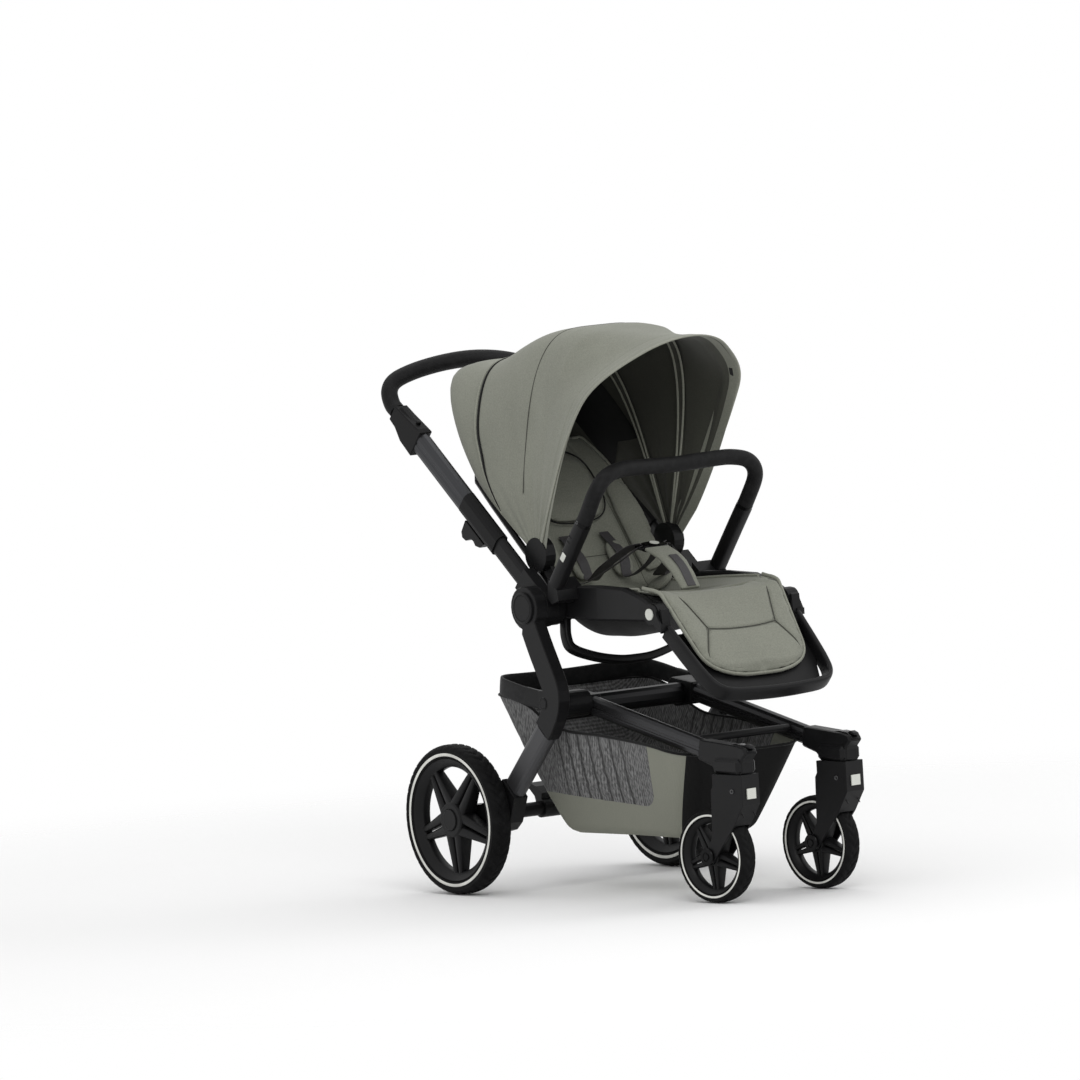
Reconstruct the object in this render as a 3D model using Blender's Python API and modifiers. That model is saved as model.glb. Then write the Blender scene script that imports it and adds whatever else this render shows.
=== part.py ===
"""Compact stroller: folding frame, seat on a hub, canopy, basket, casters and telescopic handlebar.

Metres, +Z up. The stroller drives towards -Y, and X runs across it. Every Y below is measured from
the rear axle; one empty at the end carries all of it to the model's origin, under the middle.
The right-hand side is the pushing person's right, at -X.
"""

import math

import bmesh
import bpy
from mathutils import Matrix, Vector

# Overall
REAR_AXLE_Y = 0.2386  # from the model's origin back to the rear axle
GAP = 0.0003  # between neighbours that touch
SIDES = {"right": -1, "left": 1}

# Rear wheels
REAR_RADIUS = 0.138
REAR_WIDTH = 0.043
REAR_TRACK = 0.488
REAR_HUB_RADIUS = 0.040
REAR_CAP_RADIUS = 0.0195
REAR_SPOKES = 5
WHEEL_STEPS = 26  # straight sides of each round wheel part, one of them flat on the floor

TYRE_SEAT = 0.815  # where a tyre sits on its rim, as a share of the wheel's radius

# Front wheels and casters
FRONT_RADIUS = 0.085
FRONT_WIDTH = 0.035
FRONT_HUB_RADIUS = 0.022
FRONT_SPOKES = 5
CASTER_TRACK = 0.240
CASTER_Y = -0.667
CASTER_TRAIL = 0.053
CASTER_TURN = math.radians(7)
SWIVEL_Z = 0.235
FORK_WIDTH = 0.045
FORK_FRONT = 0.043  # from the swivel axis to the fork's front face
FORK_BACK = 0.032
WHEEL_WELL = 0.0055  # space between tyre and fork arch
SPINDLE_RADIUS = 0.004

# Front frame
TUBE_TRACK = CASTER_TRACK
TUBE_WIDTH = 0.026
TUBE_HEIGHT = 0.036
TUBE_SLOPE = math.radians(11.9)
TUBE_START = (-0.268, 0.3438)  # Y and Z of the tube's rear end
TUBE_LENGTH = 0.3254
CROSS_TUBE = (-0.234, 0.3440)
CROSS_TUBE_DEPTH = 0.030
CROSS_TUBE_HEIGHT = 0.039
SLIM_BAR = (-0.545, 0.2905)
SLIM_BAR_RADIUS = 0.007
KNEE = (-0.258, 0.351)
KNEE_RADIUS = 0.0245

# Legs
HUB = (-0.200, 0.529)
HUB_RADIUS = 0.039
LEG_INNER = 0.191
LEG_THICKNESS = 0.026
LEG_WIDTH = 0.047
CAP_RADIUS = 0.029
CAP_HEIGHT = 0.002
LEG_BEND = ((-0.200, 0.529), (-0.205, 0.504), (-0.228, 0.454), (-0.2555, 0.402), (-0.2665, 0.372),
            (-0.259, 0.340), (-0.232, 0.3045))
LEG_TUBE_END = (-0.128, 0.197)
AXLE_RADIUS = 0.013
STUB_RADIUS = 0.006
FOOT_RADIUS = 0.024

# Push frame and handlebar
PUSH_ANGLE = math.radians(39.8)
PUSH_OFFSET = 0.0117  # the tube's line passes this far above the hub axis
PUSH_X = 0.1785
SOCKET_THICKNESS = 0.024
SOCKET_END = 0.066
INNER_TUBE = (0.021, 0.040)  # across and deep
OUTER_TUBE = (0.026, 0.046)
TUBE_BORE_GAP = 0.0005
INNER_END = 0.425
SLEEVE_START = 0.156
SLEEVE_END = 0.276
COLLAR_START = 0.442
COLLAR_END = 0.530
COLLAR_WIDTH = 0.0285  # across the stroller
GRIP_RADIUS = 0.0155
TRIGGER_WIDTH = 0.016

# Seat
SEAT_MOUNT_RADIUS = 0.037
SEAT_MOUNT_THICKNESS = 0.020
ARM_THICKNESS = 0.020
FOOT_PIVOT = (-0.508, 0.522)
FOOT_CORNER = (-0.6634, 0.3766)
ARM_FRONT_X = 0.150
BUTTON_RADIUS = 0.0105
BUTTON_TRAVEL = 0.0020
BACK_TOP = (0.068, 0.7855)
BACK_TUBE_RADIUS = 0.006
BACK_TUBE_X = 0.144
BUMPER_X = 0.186
BUMPER_RADIUS = 0.0145
BUMPER_FOOT = (-0.2640, 0.5720)
BUMPER_RISE = (-0.0540, 0.0680)  # direction of the bumper's legs

# Canopy: its ribs turn about an axis across the seat
CANOPY_PIVOT = (-0.170, 0.620)
CANOPY_HALF_WIDTH = 0.1600
CANOPY_BULGE = 0.036
CANOPY_THICKNESS = 0.0022
CANOPY_FOOT = 0.032  # distance from the pivot at which the fabric and the bows start
BOW_SIZE = (0.010, 0.004)
BOW_LEAD = 5.0  # degrees from a seam to the bow in front of it
CANOPY_PLANES = {"back": 36.6, "rear": 66.0, "middle": 98.0, "front": 128.0}
# How far the middle of the fabric is from the pivot, by the plane's angle
CANOPY_TOP = ((36.6, 0.316), (41.0, 0.395), (46.0, 0.452), (51.0, 0.441), (58.0, 0.408), (66.0, 0.391),
              (75.0, 0.394), (86.0, 0.405), (98.0, 0.414), (110.0, 0.427), (119.0, 0.452), (128.0, 0.498))

MATERIALS = {
    "satin_black": ((0.016, 0.016, 0.017), 0.42, 0.0),
    "dark_metal": ((0.060, 0.061, 0.064), 0.34, 0.9),
    "tyre": ((0.014, 0.014, 0.014), 0.75, 0.0),
    "leather": ((0.020, 0.020, 0.021), 0.55, 0.0),
    "sage": ((0.222, 0.230, 0.193), 0.90, 0.0),
    "sling": ((0.012, 0.012, 0.012), 0.95, 0.0),
    "mesh": ((0.200, 0.200, 0.200), 0.95, 0.0),
    "pale": ((0.620, 0.630, 0.600), 0.45, 0.0),
}


def clear_scene():
    """Start from an empty scene."""
    for old in list(bpy.data.objects):
        bpy.data.objects.remove(old, do_unlink=True)


clear_scene()
PARTS = bpy.data.collections.new("compact_stroller")
CUTTERS = bpy.data.collections.new("cutters")
bpy.context.scene.collection.children.link(PARTS)
bpy.context.scene.collection.children.link(CUTTERS)
CUTTERS.hide_render = True


def make_material(name):
    """The named finish, made once."""
    found = bpy.data.materials.get(name)
    if found:
        return found
    color, roughness, metallic = MATERIALS[name]
    made = bpy.data.materials.new(name)
    made.use_nodes = True
    shader = made.node_tree.nodes["Principled BSDF"]
    shader.inputs["Base Color"].default_value = (*color, 1.0)
    shader.inputs["Roughness"].default_value = roughness
    shader.inputs["Metallic"].default_value = metallic
    return made


def frame(origin, x_axis, y_axis):
    """The matrix that puts a flat drawing's X and Y along two directions at an origin."""
    x_dir = Vector(x_axis).normalized()
    z_dir = x_dir.cross(Vector(y_axis)).normalized()
    y_dir = z_dir.cross(x_dir)
    turned = Matrix((x_dir, y_dir, z_dir)).transposed().to_4x4()
    return Matrix.Translation(Vector(origin)) @ turned


def side_frame(x=0.0, y=0.0, z=0.0):
    """A drawing in the YZ plane at the given X, its thickness running along X."""
    return frame((x, y, z), (0, 1, 0), (0, 0, 1))


def finish_object(obj, material=None, smooth=40):
    """Shade round faces smooth, keep real edges sharp and give the object its finish."""
    for polygon in obj.data.polygons:
        polygon.use_smooth = True
    obj.data.set_sharp_from_angle(angle=math.radians(smooth))
    if material:
        obj.data.materials.clear()
        obj.data.materials.append(make_material(material))
    return obj


def link(mesh, name, matrix=None):
    """A new part object that holds the mesh, with the matrix baked into its points."""
    if matrix is not None:
        mesh.transform(matrix)
    obj = bpy.data.objects.new(name, mesh)
    PARTS.objects.link(obj)
    return obj


def mesh_of_curve(curve, name, matrix=None):
    """Turn a curve into a closed mesh object, its caps welded on."""
    carrier = bpy.data.objects.new(name + "_curve", curve)
    CUTTERS.objects.link(carrier)
    bpy.context.view_layer.update()
    graph = bpy.context.evaluated_depsgraph_get()
    mesh = bpy.data.meshes.new_from_object(carrier.evaluated_get(graph))
    work = bmesh.new()
    work.from_mesh(mesh)
    bmesh.ops.remove_doubles(work, verts=work.verts, dist=0.00001)
    bmesh.ops.recalc_face_normals(work, faces=work.faces)
    work.to_mesh(mesh)
    work.free()
    bpy.data.objects.remove(carrier, do_unlink=True)
    return link(mesh, name, matrix)


def plate(name, outlines, thickness, matrix):
    """A flat piece: one or more closed outlines, inner ones being holes, given a thickness."""
    curve = bpy.data.curves.new(name, "CURVE")
    curve.dimensions = "2D"
    curve.fill_mode = "BOTH"
    curve.extrude = thickness / 2
    for outline in outlines:
        spline = curve.splines.new("POLY")
        spline.points.add(len(outline) - 1)
        for point, (u, v) in zip(spline.points, outline):
            point.co = (u, v, 0, 1)
        spline.use_cyclic_u = True
    return mesh_of_curve(curve, name, matrix)


def rod(name, points, radius, sides=2):
    """A round bar along a list of points."""
    curve = bpy.data.curves.new(name, "CURVE")
    curve.dimensions = "3D"
    curve.bevel_depth = radius
    curve.bevel_resolution = sides
    curve.use_fill_caps = True
    spline = curve.splines.new("POLY")
    spline.points.add(len(points) - 1)
    for point, place in zip(spline.points, points):
        point.co = (*place, 1)
    return mesh_of_curve(curve, name)


def turned(name, profile, matrix, steps=WHEEL_STEPS):
    """A turned piece: (radius, place along the axis) points of its profile, spun about X."""
    points = [(along, radius, 0.0) for radius, along in profile]
    edges = []
    for index, (radius, _) in enumerate(profile):
        following = (index + 1) % len(profile)
        if radius > 0 or profile[following][0] > 0:
            edges.append((index, following))
    mesh = bpy.data.meshes.new(name)
    mesh.from_pydata(points, edges, [])
    obj = link(mesh, name)
    screw = obj.modifiers.new("turn", "SCREW")
    screw.axis = "X"
    screw.steps = steps
    screw.render_steps = steps
    screw.use_merge_vertices = True
    screw.merge_threshold = 0.00001
    recalc(apply_modifiers(obj))
    obj.data.transform(matrix)
    if matrix.determinant() < 0:
        recalc(obj)
    return obj


def cylinder(name, radius, length, centre, axis="X", sides=24):
    """A plain cylinder centred at a point, lying along X, Y or Z."""
    mesh = bpy.data.meshes.new(name)
    work = bmesh.new()
    bmesh.ops.create_cone(work, cap_ends=True, segments=sides, radius1=radius, radius2=radius, depth=length)
    work.to_mesh(mesh)
    work.free()
    turns = {"X": Matrix.Rotation(math.pi / 2, 4, "Y"), "Y": Matrix.Rotation(math.pi / 2, 4, "X"),
             "Z": Matrix.Identity(4)}
    return link(mesh, name, Matrix.Translation(Vector(centre)) @ turns[axis])


def block(name, size, centre):
    """A box of the given size centred at a point."""
    mesh = bpy.data.meshes.new(name)
    work = bmesh.new()
    bmesh.ops.create_cube(work, size=1.0, matrix=Matrix.Diagonal((*size, 1.0)))
    work.to_mesh(mesh)
    work.free()
    return link(mesh, name, Matrix.Translation(Vector(centre)))


def loft(name, rings, closed=False):
    """A solid through a row of unlike sections, with flat ends unless it closes on itself."""
    mesh = bpy.data.meshes.new(name)
    work = bmesh.new()
    made = [[work.verts.new(place) for place in ring] for ring in rings]
    spans = len(made) if closed else len(made) - 1
    for span in range(spans):
        here, after = made[span], made[(span + 1) % len(made)]
        for index in range(len(here)):
            following = (index + 1) % len(here)
            work.faces.new((here[index], here[following], after[following], after[index]))
    if not closed:
        work.faces.new(made[0])
        work.faces.new(list(reversed(made[-1])))
    quads = [face for face in work.faces if len(face.verts) == 4]
    bmesh.ops.triangulate(work, faces=quads, quad_method="SHORT_EDGE")
    bmesh.ops.recalc_face_normals(work, faces=work.faces)
    work.to_mesh(mesh)
    work.free()
    return link(mesh, name)


def apply_modifiers(obj):
    """Bake the modifiers of an object into its mesh."""
    bpy.context.view_layer.update()
    graph = bpy.context.evaluated_depsgraph_get()
    baked = bpy.data.meshes.new_from_object(obj.evaluated_get(graph))
    obj.modifiers.clear()
    obj.data = baked
    return obj


def combine(target, others, operation="UNION"):
    """Join solids to a target, or cut them from it, and remove them."""
    for other in others:
        step = target.modifiers.new("step", "BOOLEAN")
        step.operation = operation
        step.solver = "EXACT"
        step.object = other
        apply_modifiers(target)
        bpy.data.objects.remove(other, do_unlink=True)
    return target


def soften(obj, width, segments=2, angle=40):
    """Round the sharp edges of an object."""
    bevel = obj.modifiers.new("edge", "BEVEL")
    bevel.width = width
    bevel.segments = segments
    bevel.limit_method = "ANGLE"
    bevel.angle_limit = math.radians(angle)
    bevel.use_clamp_overlap = True
    return apply_modifiers(obj)


def arc(centre, radius, start, end, count):
    """Points on a circle between two angles in degrees, both included."""
    points = []
    for index in range(count):
        angle = math.radians(start + (end - start) * index / (count - 1))
        points.append((centre[0] + radius * math.cos(angle), centre[1] + radius * math.sin(angle)))
    return points


def circle(radius, count, centre=(0.0, 0.0)):
    """A closed ring of points."""
    return arc(centre, radius, 0, 360 - 360 / count, count)


def rounded_box(width, height, radius, corner_points=4):
    """The outline of a rectangle with round corners, centred at zero."""
    points = []
    for sign_x, sign_y, start in ((1, 1, 0), (-1, 1, 90), (-1, -1, 180), (1, -1, 270)):
        centre = (sign_x * (width / 2 - radius), sign_y * (height / 2 - radius))
        points += arc(centre, radius, start, start + 90, corner_points)
    return points


def smooth_path(points, count):
    """A smooth row of points through a few given ones."""
    places = [Vector(point) for point in points]
    padded = [2 * places[0] - places[1], *places, 2 * places[-1] - places[-2]]
    spans = len(places) - 1
    found = []
    for index in range(count):
        along = spans * index / (count - 1)
        span = min(int(along), spans - 1)
        t = along - span
        before, start, end, after = padded[span:span + 4]
        found.append(0.5 * (2 * start + (end - before) * t + (2 * before - 5 * start + 4 * end - after) * t**2
                            + (3 * start - before - 3 * end + after) * t**3))
    return found


def band(points, half_width):
    """The closed outline of a strip that follows a bent centreline in a plane."""
    left, right = [], []
    for index, point in enumerate(points):
        before = Vector(points[max(index - 1, 0)])
        after = Vector(points[min(index + 1, len(points) - 1)])
        along = (after - before).normalized()
        across = Vector((-along.y, along.x)) * half_width
        left.append(tuple(Vector(point) + across))
        right.append(tuple(Vector(point) - across))
    return left + right[::-1]


def eyed_band(centre, radius, points, half_width, count=20):
    """A strip that leaves a round eye: the outline of a lever or a leg with its hub ring."""
    outline = band(points, half_width)
    left, right = outline[:len(points)], outline[len(points):][::-1]
    start = math.degrees(math.atan2(left[0][1] - centre[1], left[0][0] - centre[0]))
    end = math.degrees(math.atan2(right[0][1] - centre[1], right[0][0] - centre[0]))
    while end < start:
        end += 360
    return arc(centre, radius, start, end, count) + right + left[::-1]


def sweep(name, route, normal, half_thickness, low, high, chamfer=0.002):
    """A flat bar along a route: thin across it, and reaching from low to high along the normal."""
    up = Vector(normal).normalized()
    rings = []
    for index, place in enumerate(route):
        before, after = route[max(index - 1, 0)], route[min(index + 1, len(route) - 1)]
        out = (after - before).cross(up).normalized() * half_thickness
        rings.append([place + out + up * (high - chamfer), place + out + up * (low + chamfer), place + up * low,
                      place - out + up * (low + chamfer), place - out + up * (high - chamfer), place + up * high])
    return loft(name, rings)


def value_at(table, x):
    """Read a smooth curve through a table of pairs."""
    xs = [row[0] for row in table]
    ys = [row[1] for row in table]
    if x <= xs[0]:
        return ys[0]
    if x >= xs[-1]:
        return ys[-1]
    span = max(index for index in range(len(xs) - 1) if xs[index] <= x)
    t = (x - xs[span]) / (xs[span + 1] - xs[span])
    slope_start = slope_at(xs, ys, span)
    slope_end = slope_at(xs, ys, span + 1)
    width = xs[span + 1] - xs[span]
    blend_start = (1 + 2 * t) * (1 - t) ** 2 * ys[span] + t * (1 - t) ** 2 * width * slope_start
    return blend_start + t**2 * (3 - 2 * t) * ys[span + 1] + t**2 * (t - 1) * width * slope_end


def slope_at(xs, ys, index):
    """The slope that the smooth curve has at one row of its table."""
    before, after = max(index - 1, 0), min(index + 1, len(xs) - 1)
    return (ys[after] - ys[before]) / (xs[after] - xs[before])


def wheel_tyre(name, centre, radius, width, turn=None):
    """A tyre: a turned ring with a crowned tread."""
    half = width / 2
    inner = radius * TYRE_SEAT
    tread = radius / math.cos(math.pi / WHEEL_STEPS)
    profile = [(inner, half * 0.66), (tread * 0.92, half), (tread * 0.975, half * 0.78),
               (tread, half * 0.34), (tread, -half * 0.34), (tread * 0.975, -half * 0.78),
               (tread * 0.92, -half), (inner, -half * 0.66)]
    matrix = Matrix.Translation(Vector(centre)) @ (turn or Matrix.Identity(4))
    return finish_object(turned(name, profile, matrix), "tyre")


def spoke_window(hub, ring, middle, half_angle, taper):
    """The outline of one opening between two spokes, its corners rounded by short cuts."""
    start, end = middle - half_angle, middle + half_angle
    outer = arc((0, 0), ring, start, end, 3)
    inner = arc((0, 0), hub, end - taper, start + taper, 3)
    return outer + inner


def wheel_rim(name, centre, radius, width, hub, bore, spokes, turn=None):
    """A wheel's body: barrel under the tyre, double spokes and hub, in one piece."""
    matrix = Matrix.Translation(Vector(centre)) @ (turn or Matrix.Identity(4))
    seat = radius * TYRE_SEAT - GAP
    lip = radius * 0.70
    step = 360 / spokes
    outlines = [circle(radius * 0.770, 20)]
    for index in range(spokes):
        spoke = -90 + step * index
        outlines.append(spoke_window(hub * 1.12, radius * 0.735, spoke + step / 2, step * 0.345, step * 0.06))
    web = plate(name, outlines, width * 0.38, matrix @ side_frame())
    barrel_profile = [(seat, width * 0.33), (seat, -width * 0.33), (lip, -width * 0.40), (lip, width * 0.40)]
    barrel = turned(name + "_barrel", barrel_profile, matrix)
    hub_profile = [(hub, width * 0.42), (hub, -width * 0.42), (hub * 0.9, -width / 2), (0, -width / 2),
                   (0, width / 2), (hub * 0.9, width / 2)]
    centre_piece = turned(name + "_hub", hub_profile, matrix, 14)
    combine(web, [barrel, centre_piece])
    well = cylinder(name + "_well", bore, width * 1.2, (0, 0, 0), sides=12)
    well.data.transform(matrix)
    return finish_object(combine(web, [well], "DIFFERENCE"), "satin_black")


def make_rear_wheels():
    """Tyre, rim and centre cap of each rear wheel."""
    for side, sign in SIDES.items():
        centre = (sign * REAR_TRACK / 2, 0, REAR_RADIUS)
        wheel_tyre("rear_tyre_" + side, centre, REAR_RADIUS, REAR_WIDTH)
        wheel_rim("rear_rim_" + side, centre, REAR_RADIUS, REAR_WIDTH - 0.004, REAR_HUB_RADIUS,
                  STUB_RADIUS + GAP, REAR_SPOKES)
        face = REAR_TRACK / 2 + (REAR_WIDTH - 0.004) / 2 + GAP
        cap = turned("rear_wheel_cap_" + side,
                     [(0.0, 0.0), (REAR_CAP_RADIUS, 0.0), (REAR_CAP_RADIUS, 0.0012),
                      (REAR_CAP_RADIUS - 0.0012, 0.0019), (0.0, 0.0019)],
                     Matrix.Translation((sign * face, 0, REAR_RADIUS)) @ Matrix.Scale(sign, 4, (1, 0, 0)), 16)
        finish_object(cap, "satin_black")


def recalc(obj):
    """Turn every face outwards."""
    work = bmesh.new()
    work.from_mesh(obj.data)
    bmesh.ops.remove_doubles(work, verts=work.verts, dist=0.000001)
    bmesh.ops.recalc_face_normals(work, faces=work.faces)
    work.to_mesh(obj.data)
    work.free()
    return obj


def make_casters():
    """Swivelling fork, reflector, axle, rim and tyre of each front wheel, turned as they stand."""
    for side, sign in SIDES.items():
        axis = Vector((sign * CASTER_TRACK / 2, CASTER_Y, 0))
        turn = Matrix.Rotation(CASTER_TURN, 4, "Z")
        placed = Matrix.Translation(axis) @ turn
        axle = (0, CASTER_TRAIL, FRONT_RADIUS)
        outline = [(-FORK_FRONT, SWIVEL_Z), (-FORK_FRONT, 0.180), (-0.018, 0.142)]
        outline += arc((CASTER_TRAIL, FRONT_RADIUS), 0.0160, 228, 455, 14)
        outline += [(0.0400, 0.122), (0.0370, 0.205), (FORK_BACK, 0.213), (FORK_BACK, SWIVEL_Z)]
        fork = plate("caster_fork_" + side, [outline], FORK_WIDTH, side_frame())
        soften(fork, 0.0025, 1, 60)
        well = cylinder("well", FRONT_RADIUS + WHEEL_WELL, FRONT_WIDTH + 0.0014, axle, sides=40)
        bore = cylinder("bore", SPINDLE_RADIUS + GAP, FORK_WIDTH * 1.3, axle, sides=20)
        combine(fork, [well, bore], "DIFFERENCE")
        fork.data.transform(placed)
        finish_object(fork, "satin_black")

        reflector = block("reflector_" + side, (0.022, 0.002, 0.019), (0, -FORK_FRONT - 0.001 - GAP, 0.200))
        reflector.data.transform(placed)
        finish_object(reflector, "pale")

        half = FORK_WIDTH / 2
        head = 0.0075
        spindle = turned("front_axle_" + side,
                         [(head, half + GAP), (head, half + 0.0022), (head - 0.001, half + 0.0028),
                          (0.0, half + 0.0028), (0.0, -half - 0.0028), (head - 0.001, -half - 0.0028),
                          (head, -half - 0.0022), (head, -half - GAP), (SPINDLE_RADIUS, -half - GAP),
                          (SPINDLE_RADIUS, half + GAP)],
                         placed @ Matrix.Translation(axle), 14)
        finish_object(spindle, "dark_metal")
        spot = placed @ Vector(axle)
        wheel_tyre("front_tyre_" + side, spot, FRONT_RADIUS, FRONT_WIDTH, turn)
        wheel_rim("front_rim_" + side, spot, FRONT_RADIUS, FRONT_WIDTH - 0.003, FRONT_HUB_RADIUS,
                  SPINDLE_RADIUS + GAP, FRONT_SPOKES, turn)


def oval_outline(width, depth, groove=0.0):
    """A tube's section: straight flanks, round ends and, with a groove, a channel down each flank."""
    radius = width / 2 - 0.0005
    points = []
    for sign, start in ((1, 0), (-1, 180)):
        centre = (0, sign * (depth / 2 - radius))
        points += [(centre[0] + u, centre[1] + v) for u, v in arc((0, 0), radius, start, start + 180, 7)]
        if groove:
            flank = -sign * (width / 2 - 0.0005)
            points += [(flank, sign * 0.0035), (flank + sign * groove, sign * 0.0022),
                       (flank + sign * groove, -sign * 0.0022), (flank, -sign * 0.0035)]
    return points


def straight_tube(name, width, depth, start, end, groove=0.0):
    """An oval tube between two points, its depth square to X."""
    start, end = Vector(start), Vector(end)
    along = (end - start).normalized()
    across = Vector((1, 0, 0))
    length = (end - start).length
    drawing = frame((start + end) / 2, across, along.cross(across))
    return plate(name, [oval_outline(width, depth, groove)], length, drawing)


def make_front_frame():
    """The two front tubes, the cross tube, the slim bar and the fittings at both ends."""
    along = Vector((0, -math.cos(TUBE_SLOPE), -math.sin(TUBE_SLOPE)))
    up = Vector((0, -math.sin(TUBE_SLOPE), math.cos(TUBE_SLOPE)))
    for side, sign in SIDES.items():
        x = sign * TUBE_TRACK / 2
        start = Vector((x, *TUBE_START))
        end = start + along * TUBE_LENGTH
        tube = straight_tube("front_tube_" + side, TUBE_WIDTH, TUBE_HEIGHT, start, end, 0.0018)
        finish_object(tube, "dark_metal")

        seat = start - along * GAP
        top, bottom = seat + up * 0.0205, seat - up * 0.0205
        outline = [(top.y, top.z), (bottom.y, bottom.z), (-0.215, 0.3180), (-0.198, 0.3250),
                   (-0.194, 0.3600), (-0.205, 0.3720)]
        inner = TUBE_TRACK / 2 - 0.0155
        outer = 0.1500
        body = plate("knee_fitting_" + side, [outline], outer - inner, side_frame(sign * (inner + outer) / 2))
        soften(body, 0.0035, 1, 30)
        reach = LEG_INNER - GAP
        boss_inner = TUBE_TRACK / 2 + TUBE_WIDTH / 2 + 0.0010
        boss = cylinder("boss", KNEE_RADIUS, reach - boss_inner, (sign * (reach + boss_inner) / 2, *KNEE))
        lug_outline = [(-0.262, 0.3420), (-0.262, 0.3680), (-0.200, 0.3740), (-0.1805, 0.3740),
                       (-0.1805, 0.3395), (-0.200, 0.3380)]
        lug = plate("lug", [lug_outline], 0.0140, side_frame(sign * 0.1740))
        combine(body, [boss, lug])
        finish_object(body, "satin_black")

        tip = end + along * GAP
        high, low = tip + up * 0.0185, tip - up * 0.0185
        fitting = [(high.y, high.z), (-0.700, 0.2868), (-0.7215, 0.2825), (-0.7270, 0.2740),
                   (-0.7150, 0.2630), (-0.7115, 0.2560), (-0.7115, SWIVEL_Z + GAP), (-0.6360, SWIVEL_Z + GAP),
                   (-0.6220, 0.2480), (low.y, low.z)]
        socket = plate("caster_socket_" + side, [fitting], 0.0300, side_frame(x))
        soften(socket, 0.0035, 1, 30)
        collar = block("collar", (FORK_WIDTH, 0.0750, 0.0280),
                       (x, CASTER_Y - 0.0055, SWIVEL_Z + GAP + 0.0140))
        soften(collar, 0.0060, 1, 40)
        trim = block("trim", (0.2, 0.3, 0.01), (x, CASTER_Y, SWIVEL_Z + GAP - 0.0050))
        combine(socket, [collar])
        combine(socket, [trim], "DIFFERENCE")
        finish_object(socket, "satin_black")

    reach = TUBE_TRACK / 2 - 0.0155 - GAP
    cross = plate("cross_tube", [oval_outline(CROSS_TUBE_DEPTH, CROSS_TUBE_HEIGHT)], 2 * reach,
                  side_frame(0, *CROSS_TUBE))
    finish_object(cross, "dark_metal")
    inner_side = TUBE_TRACK / 2 - TUBE_WIDTH / 2 - GAP
    slim = cylinder("slim_crossbar", SLIM_BAR_RADIUS, 2 * inner_side, (0, *SLIM_BAR), sides=20)
    finish_object(slim, "satin_black")


def hoop_route():
    """Centre points of the basket hoop, from the right knee round the back to the left."""
    half = [(0.1740, -0.1800, 0.3565), (0.1750, -0.1350, 0.3630), (0.1750, -0.0900, 0.3715),
            (0.1690, -0.0560, 0.3775), (0.1450, -0.0340, 0.3790), (0.1000, -0.0210, 0.3770),
            (0.0500, -0.0130, 0.3750)]
    right = [(-x, y, z) for x, y, z in half]
    left = [tuple(point) for point in reversed(half)]
    return smooth_path([*right, (0, -0.0100, 0.3742), *left], 33)


def make_basket_hoop():
    """The flat band that runs round behind the basket from knee to knee."""
    hoop = sweep("basket_hoop", hoop_route(), (0, 0, 1), 0.0030, -0.0165, 0.0165)
    finish_object(hoop, "leather")


BASKET_BOTTOM_Z = 0.104
BASKET_WALL = 0.0030
BASKET_PLEATS = 4


def basket_ring(level, inset):
    """One level of the bag's outline, from the bottom (0) to the rim (1), moved in by an inset."""
    corners = 6
    ease = level ** 0.9
    front = -0.4710 - 0.083 * ease + inset
    rear = -0.1340 + 0.1255 * ease - inset
    front_half = 0.083 + 0.066 * ease - inset
    rear_half = 0.100 + 0.070 * ease - inset
    radius = 0.030 + 0.030 * level
    places = []
    quarter = ((1, 1, 0, rear_half, rear), (-1, 1, 90, rear_half, rear), (-1, -1, 180, front_half, front),
               (1, -1, 270, front_half, front))
    for sign_x, sign_y, start, half, edge in quarter:
        centre = (sign_x * (half - radius), edge - sign_y * radius)
        for u, v in arc(centre, radius, start, start + 90, corners):
            places.append([u, v])
        if (sign_x, sign_y) == (-1, 1):
            places += side_run(-1, rear_half, front_half, rear - radius, front + radius)
    places += side_run(1, front_half, rear_half, front + radius, rear - radius)
    return places


def side_run(sign, half_start, half_end, start, end):
    """Points along one long side of the bag."""
    found = []
    count = 18
    for index in range(1, count):
        t = index / count
        found.append([sign * (half_start + (half_end - half_start) * t), start + (end - start) * t])
    return found


def basket_rim_height(y):
    """The bag's rim climbs to the hoop at the back and hangs under the tubes in front."""
    table = ((-0.560, 0.2595), (-0.470, 0.2785), (-0.330, 0.2935), (-0.230, 0.3000), (-0.170, 0.3200),
             (-0.135, 0.3400), (-0.090, 0.3530), (-0.056, 0.3580), (-0.030, 0.3585), (-0.0085, 0.3574))
    return value_at(table, y)


def basket_point(ring, level, index, inset):
    """Put a ring's point at its height and fold the mesh sides into pleats."""
    u, v = ring[index]
    rim = basket_rim_height(v)
    height = BASKET_BOTTOM_Z + (rim - BASKET_BOTTOM_Z) * level
    side_share = (v + 0.40) / 0.24
    if -0.40 < v < -0.16 and level > 0.30:
        swell = math.sin(math.pi * side_share) * math.sin(math.pi * min((level - 0.30) / 0.70, 1.0))
        u += math.copysign(0.0045 * swell * math.sin(2 * math.pi * BASKET_PLEATS * side_share), u)
        u += math.copysign(0.006 * swell, u)
    if inset:
        height = max(height, BASKET_BOTTOM_Z + BASKET_WALL)
    return (u, v, height)


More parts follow.
